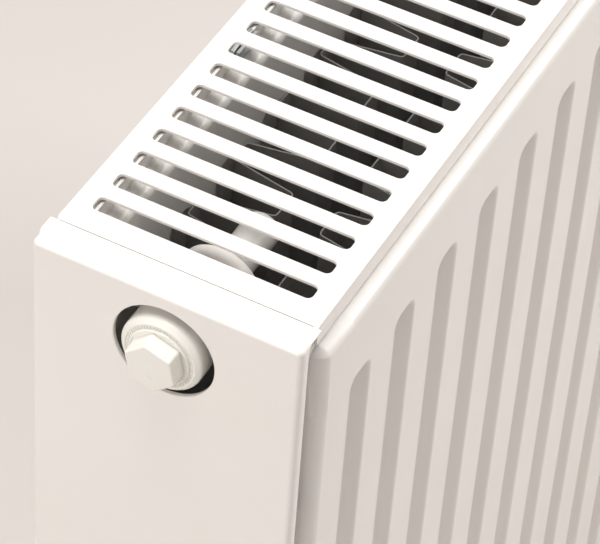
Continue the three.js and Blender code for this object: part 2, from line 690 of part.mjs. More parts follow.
// ---- Hanging lugs ----
function hangingLug(name, x, z) {
  const foot = DEPTH / 2 + FIT_GAP;
  const footTop = foot + LUG_SHEET;
  const top = foot + LUG_STANDOFF;
  const rightHalf = [
    [LUG_BRIDGE_HALF, top], [LUG_FOOT_INNER, footTop], [LUG_HALF_LENGTH, footTop],
    [LUG_HALF_LENGTH, foot], [LUG_FOOT_INNER - LUG_BEND_ALLOWANCE, foot],
    [LUG_BRIDGE_HALF - LUG_BEND_ALLOWANCE, top - LUG_SHEET]];
  const leftHalf = rightHalf.map(([px, py]) => [-px, py]).reverse();
  const shape = new THREE.Shape(
    [...rightHalf, ...leftHalf].map(([px, py]) => new THREE.Vector2(x + px, py)));
  const strap = new THREE.ExtrudeGeometry(shape, { depth: LUG_HEIGHT, bevelEnabled: false });
  strap.translate(0, 0, z - LUG_HEIGHT / 2);
  return part(name, toSolid(strap), paint());
}

// ---- Assembly ----
const radiator = new THREE.Group();
radiator.add(waterPanel('front'), waterPanel('rear'));
radiator.add(convector('rear_convector', 0), convector('front_convector', Math.PI));
radiator.add(
  portGroup(
    -1, PORT_TOP_Z, hub('hub_top_left', -1, true), valveBody(), sealRing('valve_seal_ring'),
    valveGland(), valvePin(), valveDisc(), valveSpring(), valveCap()),
  portGroup(
    1, PORT_TOP_Z, hub('hub_top_right', 1, false), ventBody(), sealRing('vent_seal_ring'),
    ventNozzle(), bleedScrew(), bleedScrewSeal()),
  portGroup(
    -1, PORT_BOTTOM_Z, hub('hub_bottom_left', -1, false), blindPlug('blind_plug_left'),
    sealRing('blind_plug_left_seal')),
  portGroup(
    1, PORT_BOTTOM_Z, hub('hub_bottom_right', 1, false), blindPlug('blind_plug_right'),
    sealRing('blind_plug_right_seal')));
radiator.add(riserPipe(), flowNipple(), returnTee(), nippleBracket());
radiator.add(sideCover('side_cover_left', -1), sideCover('side_cover_right', 1), topGrille());
for (const [place, side] of [['front', -1], ['rear', 1]]) {
  for (const [end, x] of [['left', -LEAF_X], ['right', LEAF_X]]) {
    radiator.add(grilleClip(`grille_clip_${place}_${end}`, x, side));
  }
}
for (const [end, side] of [['left', -1], ['right', 1]]) {
  for (const [place, y] of [['front', -SEAM_OFFSET], ['rear', SEAM_OFFSET]]) {
    for (const [level, z] of [['top', CLIP_TOP_Z], ['bottom', CLIP_BOTTOM_Z]]) {
      radiator.add(coverClip(`cover_clip_${end}_${place}_${level}`, side, y, z));
    }
  }
  for (const [level, z] of [['top', LUG_TOP_Z], ['bottom', LUG_BOTTOM_Z]]) {
    radiator.add(hangingLug(`hanging_lug_${level}_${end}`, side * LUG_X, z));
  }
}

// The origin is at the middle of the footprint, on the floor.
const placed = new THREE.Group();
placed.add(radiator);
placed.updateMatrixWorld(true);
const extent = new THREE.Box3().setFromObject(radiator, true);
radiator.position.set(
  -(extent.min.x + extent.max.x) / 2, -(extent.min.y + extent.max.y) / 2, -extent.min.z);

export default placed;
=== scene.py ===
"""A double-panel steel radiator with a built-in valve: the visible pieces, in metres, around the CAD frame.

X runs along the radiator from the valve end to the vent end, the room side faces -Y, the wall side +Y,
and Z is up.
"""
import json
import math

import bmesh
import bpy
from bpy.props import FloatProperty, FloatVectorProperty, IntProperty, PointerProperty
from mathutils import Matrix, Vector

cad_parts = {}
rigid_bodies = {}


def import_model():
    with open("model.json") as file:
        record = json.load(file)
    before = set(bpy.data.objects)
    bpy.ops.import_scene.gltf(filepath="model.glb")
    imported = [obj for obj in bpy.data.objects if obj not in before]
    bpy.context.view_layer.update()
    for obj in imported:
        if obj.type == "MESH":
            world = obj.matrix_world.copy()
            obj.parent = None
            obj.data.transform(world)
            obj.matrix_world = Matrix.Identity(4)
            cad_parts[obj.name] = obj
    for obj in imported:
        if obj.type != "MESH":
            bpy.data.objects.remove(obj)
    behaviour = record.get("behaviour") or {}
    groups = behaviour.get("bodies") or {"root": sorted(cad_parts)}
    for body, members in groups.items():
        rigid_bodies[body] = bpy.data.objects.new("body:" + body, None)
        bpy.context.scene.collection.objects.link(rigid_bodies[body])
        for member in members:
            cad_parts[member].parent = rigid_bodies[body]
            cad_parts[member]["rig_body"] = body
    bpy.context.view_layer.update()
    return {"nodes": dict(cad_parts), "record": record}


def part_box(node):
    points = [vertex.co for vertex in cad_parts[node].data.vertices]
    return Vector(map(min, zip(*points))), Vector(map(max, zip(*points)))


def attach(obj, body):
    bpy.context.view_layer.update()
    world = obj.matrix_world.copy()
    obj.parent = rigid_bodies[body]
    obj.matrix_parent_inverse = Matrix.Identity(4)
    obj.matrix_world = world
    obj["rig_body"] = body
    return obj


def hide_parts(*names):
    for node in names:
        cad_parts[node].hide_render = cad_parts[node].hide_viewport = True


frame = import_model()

bl_info = {
    "name": "Panel radiator with valve",
    "version": (1, 0, 0),
    "blender": (4, 5, 0),
    "location": "3D View > Sidebar > Radiator",
    "description": "Builds a double-panel steel radiator with a slotted grille and a built-in valve",
    "category": "Object",
}

MM = 0.001
SLOTS = {entry["node"]: entry["material_slot"] for entry in frame["record"]["subparts"]}
BODIES = {node: shown["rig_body"] for node, shown in frame["nodes"].items()}
COVER_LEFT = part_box("side_cover_left")
COVER_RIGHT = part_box("side_cover_right")
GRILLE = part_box("top_grille")


# ---- Settings ----
def length(name, description, default):
    """A size in metres."""
    return FloatProperty(name=name, description=description, default=default, min=0.0, unit="LENGTH",
                         subtype="DISTANCE", precision=5)


def angle(name, description, degrees):
    """An angle, given in degrees."""
    return FloatProperty(name=name, description=description, default=math.radians(degrees), unit="ROTATION",
                         subtype="ANGLE")


def number(name, description, default):
    """A whole number of repeats."""
    return IntProperty(name=name, description=description, default=default, min=1)


def amount(name, description, default, unit="NONE"):
    """A plain amount, such as a light's power."""
    return FloatProperty(name=name, description=description, default=default, min=0.0, unit=unit)


def colour(name, description, default):
    """A linear colour."""
    return FloatVectorProperty(name=name, description=description, default=default, size=3, min=0.0,
                               max=1.0, subtype="COLOR")


class RadiatorPanelSizes(bpy.types.PropertyGroup):
    """Sizes of the pressed sheets, the convectors and the hanging lugs"""
    sheet: length("Sheet", "Thickness of a pressed sheet", 1.2 * MM)
    rim_side: length("Rim at the ends", "Width of the flat welded rim at both ends", 7 * MM)
    rim_top: length("Rim on top", "Height of the flat welded rim above the pressed part", 6 * MM)
    rim_bottom: length("Rim below", "Height of the flat welded rim below the pressed part", 8.5 * MM)
    shoulder: length("Shoulder", "How far the rounded edge of the pressed part reaches in", 5 * MM)
    corner: length("Corner", "Radius of the pressed part's four corners", 9 * MM)
    groove_count: number("Grooves", "Number of upright grooves", 17)
    groove_pitch: length("Groove pitch", "Distance from groove to groove", 33.3 * MM)
    groove_mouth: length("Groove mouth", "Width of a groove at the face", 16 * MM)
    groove_slope: length("Groove slope", "Width of a groove's sloping side", 5.2 * MM)
    groove_depth: length("Groove depth", "Depth of a groove under the face", 5 * MM)
    groove_corner: length("Groove corner", "Radius of a groove's end corners", 5.5 * MM)
    groove_inset: length("Groove inset", "From the top and floor edges to a groove's ends", 40 * MM)
    fin_sheet: length("Fin sheet", "Thickness of the convector sheet", 0.6 * MM)
    fin_bend: length("Fin bend", "Size of the rounding in a convector bend", 1.4 * MM)
    fin_folds: number("Fin folds", "Number of folds in a convector", 16)
    lug_sheet: length("Lug sheet", "Thickness of a hanging lug", 2 * MM)


class RadiatorCoverSizes(bpy.types.PropertyGroup):
    """Sizes of the side covers and the top grille"""
    sheet: length("Sheet", "Thickness of the cover sheet", 1 * MM)
    flange: length("Flange", "Width of a side cover's top flange", 12.8 * MM)
    lip: length("Lip", "Width of a side cover's upright lips", 4.5 * MM)
    fold: length("Fold", "Radius of a side cover's folds", 2.2 * MM)
    foot_inset: length("Foot inset", "From a side cover's upright edges to its floor flange", 9 * MM)
    hole: length("Hole radius", "Radius of the round holes in a side cover", 19.2 * MM)
    hole_rim: length("Hole rim", "Radius of the rounded rim of a hole", 0.6 * MM)
    slot_count: number("Slots", "Number of slots in the grille", 43)
    slot_pitch: length("Slot pitch", "Distance from slot to slot", 13.3 * MM)
    slot_width: length("Slot width", "Width of a slot", 6.8 * MM)
    slot_corner: length("Slot corner", "Radius of a slot's corners", 2.2 * MM)
    slot_rim: length("Slot rim", "Radius of the rounded rim of a slot", 0.35 * MM)
    room_margin: length("Room margin", "From the grille's room edge to its slots", 8.3 * MM)
    wall_margin: length("Wall margin", "From the grille's wall edge to its slots", 7.1 * MM)
    grille_fold: length("Grille fold", "Radius of the grille's long folds", 1.8 * MM)


class RadiatorValveSizes(bpy.types.PropertyGroup):
    """Sizes of the cap, the ports and the pipework"""
    cap_radius: length("Cap radius", "Radius of the valve cap", 15.5 * MM)
    cap_face: length("Cap face", "How far the cap's face stands out of the side cover", 3.3 * MM)
    grip_corner: length("Grip corner", "From the axis to a corner of the hexagonal grip", 10.4 * MM)
    grip_rise: length("Grip rise", "How far the grip stands out of the cap", 6.2 * MM)
    grip_turn: angle("Grip turn", "How far the grip is turned when the valve is open", -12)
    grip_rounding: length("Grip rounding", "Radius of the grip's edges", 0.7 * MM)
    cap_ribs: number("Cap ribs", "Number of small ribs on the cap's ring", 60)
    cross_tube: length("Cross tube depth", "From a cover's face to the middle of the cross tube", 27 * MM)
    thread_pitch: length("Thread pitch", "Pitch of the port threads", 1.8 * MM)
    nipple_spacing: length("Nipple spacing", "Distance between the flow and the return nipple", 50 * MM)


class RadiatorColours(bpy.types.PropertyGroup):
    """Colours of the finishes"""
    enamel: colour("Stove enamel", "Water panels, hubs and lugs", (0.80, 0.775, 0.75))
    # The dark grey of the convectors is painted shade: it darkens the inside of the radiator that shows
    # through the grille's slots.
    fin_shade_grey: colour("Painted shade grey", "Convectors", (0.30, 0.295, 0.285))
    powder: colour("Powder coat", "Side covers and grille", (0.84, 0.805, 0.775))
    zinc: colour("Zinc", "Nipples, bracket and clips", (0.60, 0.62, 0.63))
    steel: colour("Drawn steel", "Riser pipe", (0.36, 0.355, 0.35))
    stainless: colour("Stainless steel", "Valve pin and spring", (0.62, 0.61, 0.60))
    brass: colour("Brass", "Valve insert and bleed screw", (0.70, 0.50, 0.22))
    nickel: colour("Nickel", "Air vent body", (0.66, 0.64, 0.60))
    plastic: colour("White plastic", "Valve cap and vent nozzle", (0.84, 0.82, 0.775))
    rubber: colour("Rubber", "Sealing rings and valve disc", (0.022, 0.021, 0.021))


class RadiatorStudio(bpy.types.PropertyGroup):
    """The floor, the lights and the camera"""
    azimuth: angle("Azimuth", "Direction the camera looks in, from +X towards +Y", 25.15)
    elevation: angle("Elevation", "How steeply the camera looks down", 44.79)
    roll: angle("Roll", "How far the camera is rolled", 4.28)
    lens: amount("Focal length", "Focal length in millimetres", 192.3)
    distance: length("Distance", "From the camera to the point it aims at", 1052 * MM)
    aim_x: length("Aim along the radiator", "From the left end of the grille to the aimed point", 19.6 * MM)
    aim_y: length("Aim across the radiator", "From the grille's room edge to the aimed point", 17.2 * MM)
    floor: colour("Floor", "Colour of the floor", (0.71, 0.665, 0.635))
    sky: colour("Surroundings", "Colour of the even light all round", (1.0, 0.97, 0.94))
    sky_strength: amount("Surroundings strength", "Strength of the even light all round", 0.4)
    ceiling: amount("Ceiling light", "Power of the soft light above", 32.0, "POWER")
    window: amount("Window light", "Power of the soft light at the valve end", 15.0, "POWER")
    room: amount("Room light", "Power of the soft light on the room side", 8.0, "POWER")


GROUPS = {
    "radiator_panels": RadiatorPanelSizes,
    "radiator_covers": RadiatorCoverSizes,
    "radiator_valve": RadiatorValveSizes,
    "radiator_colours": RadiatorColours,
    "radiator_studio": RadiatorStudio,
}


# ---- Finishes ----
def add_node(tree, kind, inputs=(), **settings):
    """A shader node with its sockets and settings filled in."""
    node = tree.nodes.new("ShaderNode" + kind)
    for name, value in settings.items():
        setattr(node, name, value)
    for name, value in dict(inputs).items():
        node.inputs[name].default_value = value
    return node


def new_finish(name, base, roughness, metallic=0.0, coat=0.0):
    """A material whose even values stand on the shader's own sockets."""
    material = bpy.data.materials.new(name)
    material.use_nodes = True
    tree = material.node_tree
    shader = tree.nodes["Principled BSDF"]
    shader.inputs["Base Color"].default_value = (*base, 1.0)
    shader.inputs["Roughness"].default_value = roughness
    shader.inputs["Metallic"].default_value = metallic
    shader.inputs["Coat Weight"].default_value = coat
    shader.inputs["Coat Roughness"].default_value = 0.12
    return material, tree, shader


def place_pattern(tree, stretch=(1.0, 1.0, 1.0)):
    """Object coordinates, stretched along the axes."""
    source = add_node(tree, "TexCoord")
    mapping = add_node(tree, "Mapping", {"Scale": stretch})
    tree.links.new(source.outputs["Object"], mapping.inputs["Vector"])
    return mapping.outputs["Vector"]


def noise(tree, place, scale, detail=3.0, roughness=0.55):
    """A cloudy pattern from 0 to 1."""
    node = add_node(tree, "TexNoise", {"Scale": scale, "Detail": detail, "Roughness": roughness})
    tree.links.new(place, node.inputs["Vector"])
    return node.outputs["Fac"]


def spread(tree, value, low, high):
    """Stretch the middle of a pattern to run from low to high."""
    node = add_node(tree, "MapRange", {"From Min": 0.3, "From Max": 0.7, "To Min": low, "To Max": high})
    tree.links.new(value, node.inputs["Value"])
    return node.outputs["Result"]


def vary_colour(tree, shader, pattern, base, other):
    """Let the colour drift between two tones along a pattern."""
    mix = add_node(tree, "Mix", data_type="RGBA")
    tree.links.new(spread(tree, pattern, 0.0, 1.0), mix.inputs["Factor"])
    colour_sockets = [socket for socket in mix.inputs if socket.type == "RGBA"]
    colour_sockets[0].default_value = (*base, 1.0)
    colour_sockets[1].default_value = (*other, 1.0)
    result = next(socket for socket in mix.outputs if socket.type == "RGBA")
    tree.links.new(result, shader.inputs["Base Color"])
    return result


def vary_roughness(tree, shader, pattern, low, high):
    """Let the gloss drift along a pattern."""
    tree.links.new(spread(tree, pattern, low, high), shader.inputs["Roughness"])


def relief(tree, shader, pattern, depth, below=None):
    """Fine surface relief, its depth in metres, on top of the relief below it."""
    bump = add_node(tree, "Bump", {"Strength": 1.0, "Distance": depth})
    tree.links.new(pattern, bump.inputs["Height"])
    if below is not None:
        tree.links.new(below, bump.inputs["Normal"])
    tree.links.new(bump.outputs["Normal"], shader.inputs["Normal"])
    return bump.outputs["Normal"]


def tinted(base, factor):
    """A tone a little darker or lighter than the base."""
    return tuple(min(1.0, channel * gain) for channel, gain in zip(base, factor))


def paint(name, base, roughness, coat, peel_scale, peel_depth):
    """Baked paint: a soft orange peel, faint clouds in the tone and the gloss, and a few dust nibs."""
    material, tree, shader = new_finish(name, base, roughness, coat=coat)
    place = place_pattern(tree)
    clouds = noise(tree, place, 9.0, 4.0)
    vary_colour(tree, shader, clouds, tinted(base, (0.985, 0.98, 0.97)), tinted(base, (1.01, 1.012, 1.015)))
    vary_roughness(tree, shader, noise(tree, place, 38.0), roughness - 0.04, roughness + 0.05)
    peel = relief(tree, shader, noise(tree, place, peel_scale, 1.5, 0.4), peel_depth)
    nibs = add_node(tree, "TexVoronoi", {"Scale": 95.0, "Randomness": 1.0})
    tree.links.new(place, nibs.inputs["Vector"])
    dome = add_node(tree, "MapRange", {"From Min": 0.0, "From Max": 0.035, "To Min": 1.0, "To Max": 0.0})
    tree.links.new(nibs.outputs["Distance"], dome.inputs["Value"])
    relief(tree, shader, dome.outputs["Result"], 0.012 * MM, peel)
    return material


def stove_enamel(colours):
    """White stove enamel on the panels."""
    return paint("stove_enamel", colours.enamel, 0.33, 0.25, 420.0, 0.035 * MM)


def painted_shade_fins(colours):
    """A dull dark grey on the convectors: painted shade, standing in for the shade deep inside the radiator
    under the grille.
    """
    return paint("painted_shade_fins", colours.fin_shade_grey, 0.55, 0.0, 600.0, 0.04 * MM)


def powder_coat(colours):
    """White powder coat on the covers and the grille."""
    return paint("powder_coat", colours.powder, 0.36, 0.15, 560.0, 0.03 * MM)


def plug_enamel(colours):
    """White enamel on the turned plugs."""
    return paint("plug_enamel", tinted(colours.enamel, (1.01, 1.01, 1.0)), 0.3, 0.3, 650.0, 0.02 * MM)


def moulded_plastic(colours):
    """White moulded plastic with a fine matt texture."""
    base = colours.plastic
    material, tree, shader = new_finish("moulded_plastic", base, 0.3)
    shader.inputs["Subsurface Weight"].default_value = 0.08
    shader.inputs["Subsurface Radius"].default_value = (1.5 * MM, 1.2 * MM, 1.0 * MM)
    shader.inputs["Subsurface Scale"].default_value = 1.0
    place = place_pattern(tree)
    vary_colour(tree, shader, noise(tree, place, 60.0), tinted(base, (0.98, 0.975, 0.95)),
                tinted(base, (1.01, 1.01, 1.01)))
    vary_roughness(tree, shader, noise(tree, place, 160.0), 0.26, 0.36)
    relief(tree, shader, noise(tree, place, 1800.0, 2.0), 0.008 * MM)
    return material


def zinc_plate(colours):
    """Zinc plate with cloudy crystals."""
    base = colours.zinc
    material, tree, shader = new_finish("zinc_plate", base, 0.4, metallic=0.9)
    place = place_pattern(tree)
    crystals = add_node(tree, "TexVoronoi", {"Scale": 260.0})
    tree.links.new(place, crystals.inputs["Vector"])
    vary_colour(tree, shader, crystals.outputs["Distance"], tinted(base, (0.82, 0.83, 0.85)),
                tinted(base, (1.1, 1.1, 1.08)))
    vary_roughness(tree, shader, noise(tree, place, 120.0, 5.0), 0.3, 0.52)
    relief(tree, shader, noise(tree, place, 900.0), 0.01 * MM)
    return material


def drawn_steel(colours):
    """Plain drawn tube with lengthwise streaks and a little tarnish."""
    base = colours.steel
    material, tree, shader = new_finish("drawn_steel", base, 0.4, metallic=0.95)
    streaks = noise(tree, place_pattern(tree, (900.0, 900.0, 9.0)), 1.0, 3.0)
    tarnish = noise(tree, place_pattern(tree), 45.0, 5.0)
    vary_colour(tree, shader, tarnish, tinted(base, (0.72, 0.66, 0.6)), tinted(base, (1.15, 1.15, 1.14)))
    vary_roughness(tree, shader, streaks, 0.3, 0.5)
    relief(tree, shader, streaks, 0.012 * MM)
    return material


def turned_metal(name, base, roughness, line_depth):
    """Machined metal with fine turning lines round the X axis of a port."""
    material, tree, shader = new_finish(name, base, roughness, metallic=1.0)
    lines = noise(tree, place_pattern(tree, (5200.0, 60.0, 60.0)), 1.0, 2.0)
    clouds = noise(tree, place_pattern(tree), 110.0, 4.0)
    vary_colour(tree, shader, clouds, tinted(base, (0.84, 0.8, 0.72)), tinted(base, (1.08, 1.07, 1.04)))
    vary_roughness(tree, shader, clouds, roughness - 0.06, roughness + 0.1)
    relief(tree, shader, lines, line_depth)
    return material


def brass_finish(colours):
    """Machined brass."""
    return turned_metal("machined_brass", colours.brass, 0.27, 0.012 * MM)


def stainless_finish(colours):
    """Ground stainless steel."""
    return turned_metal("ground_stainless", colours.stainless, 0.25, 0.006 * MM)


def nickel_finish(colours):
    """Nickel plate on a machined body."""
    return turned_metal("nickel_plate", colours.nickel, 0.2, 0.004 * MM)


def black_rubber(colours):
    """Dull black rubber with a faint bloom."""
    base = colours.rubber
    material, tree, shader = new_finish("black_rubber", base, 0.7)
    place = place_pattern(tree)
    vary_colour(tree, shader, noise(tree, place, 300.0, 4.0), base, tinted(base, (2.2, 2.2, 2.3)))
    vary_roughness(tree, shader, noise(tree, place, 500.0), 0.6, 0.8)
    relief(tree, shader, noise(tree, place, 1500.0), 0.01 * MM)
    return material


FINISHES = {
    "panel_paint": stove_enamel,
    "convector_paint": painted_shade_fins,
    "cover_paint": powder_coat,
    "plug_paint": plug_enamel,
    "white_plastic": moulded_plastic,
    "zinc_steel": zinc_plate,
    "riser_steel": drawn_steel,
    "stainless": stainless_finish,
    "brass": brass_finish,
    "nickel": nickel_finish,
    "rubber": black_rubber,
}
made_finishes = {}


def finish_for(slot):
    """The material of a slot in the record, made once."""
    if slot not in made_finishes:
        made_finishes[slot] = FINISHES[slot](bpy.context.scene.radiator_colours)
    return made_finishes[slot]


# ---- Shaping tools ----
def tidy(bm):
    """Close seams and turn the faces of a closed body outwards."""
    bmesh.ops.remove_doubles(bm, verts=bm.verts, dist=0.001 * MM)
    bmesh.ops.recalc_face_normals(bm, faces=bm.faces)
    return bm


def round_edges(bm, size, segments=3, sharper_than=40.0, edges=None):
    """Round the given edges, or every edge that turns by more than the angle."""
    if edges is None:
        limit = math.radians(sharper_than)
        edges = [edge for edge in bm.edges if edge.is_manifold and edge.calc_face_angle() > limit]
    bmesh.ops.bevel(bm, geom=edges, offset=size, offset_type="OFFSET", segments=segments, profile=0.5,
                    affect="EDGES", clamp_overlap=True, material=-1)
    return bm


def turned(profile, steps=64):
    """A body turned about X. The profile lists (depth, radius) in millimetres; without a point on the
    axis it closes on itself as a ring."""
    bm = bmesh.new()
    verts = [bm.verts.new((depth * MM, 0.0, radius * MM)) for depth, radius in profile]
    edges = [bm.edges.new(pair) for pair in zip(verts, verts[1:])]
    if all(radius > 0 for _, radius in profile):
        edges.append(bm.edges.new((verts[-1], verts[0])))
    bmesh.ops.spin(bm, geom=verts + edges, cent=(0, 0, 0), axis=(1, 0, 0), dvec=(0, 0, 0),
                   angle=2 * math.pi, steps=steps, use_merge=True)
    return tidy(bm)


def ring_section(middle, radius, section, points=14):
    """The round section of a sealing ring as a closed profile."""
    angles = [2 * math.pi * i / points for i in range(points)]
    return [(middle + section * math.cos(a), radius + section * math.sin(a)) for a in angles]


def thread(start, end, root, crest, pitch):
    """Profile points of a screw thread between two depths."""
    count = int((end - start) / pitch)
    points = []
    for i in range(count):
        at = start + (end - start) * i / count
        points += [(at, root), (at + 0.4 * pitch, crest), (at + 0.55 * pitch, crest)]
    return points + [(end, root)]


def prism(radius, depth_from, depth_to, sides):
    """A bar with a regular section along X and a corner straight up, in millimetres."""
    bm = bmesh.new()
    middle = (depth_from + depth_to) / 2 * MM
    matrix = (Matrix.Translation((middle, 0, 0)) @ Matrix.Rotation(math.pi / 2, 4, "Y")
              @ Matrix.Rotation(math.pi / 2, 4, "Z"))
    bmesh.ops.create_cone(bm, cap_ends=True, segments=sides, radius1=radius * MM, radius2=radius * MM,
                          depth=(depth_to - depth_from) * MM, matrix=matrix)
    return tidy(bm)


def block(low, high):
    """A box between two corners."""
    bm = bmesh.new()
    low, high = Vector(low), Vector(high)
    matrix = Matrix.Translation((low + high) / 2) @ Matrix.Diagonal((*(high - low), 1.0))
    bmesh.ops.create_cube(bm, size=1.0, matrix=matrix)
    return bm


def moved(bm, matrix):
    """Set a shape in place."""
    bmesh.ops.transform(bm, matrix=matrix, verts=bm.verts)
    return bm


def gathered(bm, *others):
    """Put other shapes into the first one's mesh."""
    for other in others:
        carrier = bpy.data.meshes.new("carrier")
        other.to_mesh(carrier)
        other.free()
        bm.from_mesh(carrier)
        bpy.data.meshes.remove(carrier)
    return bm


def combined(bm, other, operation):
    """The union or difference of two closed bodies."""
    helpers = []
    for shape in (bm, other):
        mesh = bpy.data.meshes.new("helper")
        shape.to_mesh(mesh)
        shape.free()
        helper = bpy.data.objects.new("helper", mesh)
        bpy.context.scene.collection.objects.link(helper)
        helpers.append(helper)
    cut = helpers[0].modifiers.new("Cut", "BOOLEAN")
    cut.operation = operation
    cut.object = helpers[1]
    cut.solver = "EXACT"
    result = bmesh.new()
    result.from_object(helpers[0], bpy.context.evaluated_depsgraph_get())
    for helper in helpers:
        mesh = helper.data
        bpy.data.objects.remove(helper)
        bpy.data.meshes.remove(mesh)
    return tidy(result)


def folded(line, low, high, bend, segments=4):
    """A strip with upright bends: the (x, y) corners of its line, drawn from low to high."""
    bm = bmesh.new()
    feet = [bm.verts.new((x, y, low)) for x, y in line]
    edges = [bm.edges.new(pair) for pair in zip(feet, feet[1:])]
    risen = bmesh.ops.extrude_edge_only(bm, edges=edges)["geom"]
    bmesh.ops.translate(bm, verts=[v for v in risen if isinstance(v, bmesh.types.BMVert)],
                        vec=(0, 0, high - low))
    bends = [edge for edge in bm.edges if len(edge.link_faces) == 2]
    bmesh.ops.recalc_face_normals(bm, faces=bm.faces)
    return round_edges(bm, bend, segments, edges=bends)


def face_towards(bm, direction):
    """Turn an open sheet so that most of it faces the direction."""
    facing = sum((face.normal * face.calc_area() for face in bm.faces), Vector())
    if facing.dot(Vector(direction)) < 0:
        bmesh.ops.reverse_faces(bm, faces=bm.faces)
    return bm


def finish_piece(name, bm, node, sharp=35.0):
    """Make the object: it stands for its CAD node, rides on the node's body and takes its finish."""
    mesh = bpy.data.meshes.new(name)
    bm.to_mesh(mesh)
    bm.free()
    mesh.shade_smooth()
    mesh.set_sharp_from_angle(angle=math.radians(sharp))
    mesh.materials.append(finish_for(SLOTS[node]))
    shown = bpy.data.objects.new(name, mesh)
    bpy.context.scene.collection.objects.link(shown)
    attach(shown, BODIES[node])
    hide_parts(node)
    return shown


def add_wall(shown, sheet, offset=-1.0, edge=0.2 * MM):
    """Give a sheet its thickness, soften its cut edges and keep its flats flat."""
    wall = shown.modifiers.new("Wall", "SOLIDIFY")
    wall.thickness = sheet
    wall.offset = offset
    wall.use_even_offset = True
    cut_edge = shown.modifiers.new("Cut edge", "BEVEL")
    cut_edge.width = edge
    cut_edge.segments = 2
    cut_edge.limit_method = "ANGLE"
    cut_edge.angle_limit = math.radians(60)
    keep_flats(shown)
    return shown


def keep_flats(shown):
    """Shade large flats as flat next to small roundings."""
    flats = shown.modifiers.new("Flats", "WEIGHTED_NORMAL")
    flats.keep_sharp = True
    return shown


def port(side, level):
    """The matrix that sets a piece built along X, from the cover's face inwards, at one of the ports."""
    low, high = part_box("valve_insert_body" if level == "top" else "blind_plug_left")
    middle = (low + high) / 2
    if side == "left":
        return Matrix.Translation((COVER_LEFT[0].x, middle.y, middle.z))
    return Matrix.Translation((COVER_RIGHT[1].x, middle.y, middle.z)) @ Matrix.Rotation(math.pi, 4, "Z")


def upright(x, y, z):
    """The matrix that stands a piece built along X upright, its start at the point."""
    return Matrix.Translation((x, y, z)) @ Matrix.Rotation(-math.pi / 2, 4, "Y")


def across(x, y, z):
    """The matrix that lays a piece built along X along Y, its start at the point."""
    return Matrix.Translation((x, y, z)) @ Matrix.Rotation(math.pi / 2, 4, "Z")


# ---- Water panels ----
def quarter_round(share):
    """The height of a quarter circle over its base, both from 0 to 1."""
    return math.sqrt(max(0.0, 1.0 - (1.0 - min(max(share, 0.0), 1.0)) ** 2))


def smooth(share):
    """A smooth step from 0 to 1."""
    share = min(max(share, 0.0), 1.0)
    return share * share * (3.0 - 2.0 * share)


def depth_inside(x, z, half_width, half_height, corner):
    """How far a point is inside a rectangle with round corners about the origin."""
    over_x = abs(x) - half_width + corner
    over_z = abs(z) - half_height + corner
    return corner - math.hypot(max(over_x, 0.0), max(over_z, 0.0)) - min(max(over_x, over_z), 0.0)


def edge_stations(low, high, shoulder, rim_low, rim_high):
    """Grid lines over a pressed edge at both ends, closer where it is steeper."""
    steps = [shoulder * (1 - math.cos(math.radians(turn))) for turn in range(0, 91, 10)]
    return ([rim_low, low - 0.4 * MM] + [low + step for step in steps]
            + [high - step for step in reversed(steps)] + [high + 0.4 * MM, rim_high])


def groove_stations(sizes, middle):
    """Grid lines over one side of every groove."""
    half = sizes.groove_mouth / 2
    divisions = 9
    offsets = [half + 0.4 * MM] + [half - sizes.groove_slope * i / divisions for i in range(divisions + 1)]
    stations = []
    for i in range(sizes.groove_count):
        centre = middle + (i - (sizes.groove_count - 1) / 2) * sizes.groove_pitch
        stations += [centre - offset for offset in offsets] + [centre]
        stations += [centre + offset for offset in reversed(offsets)]
    return stations


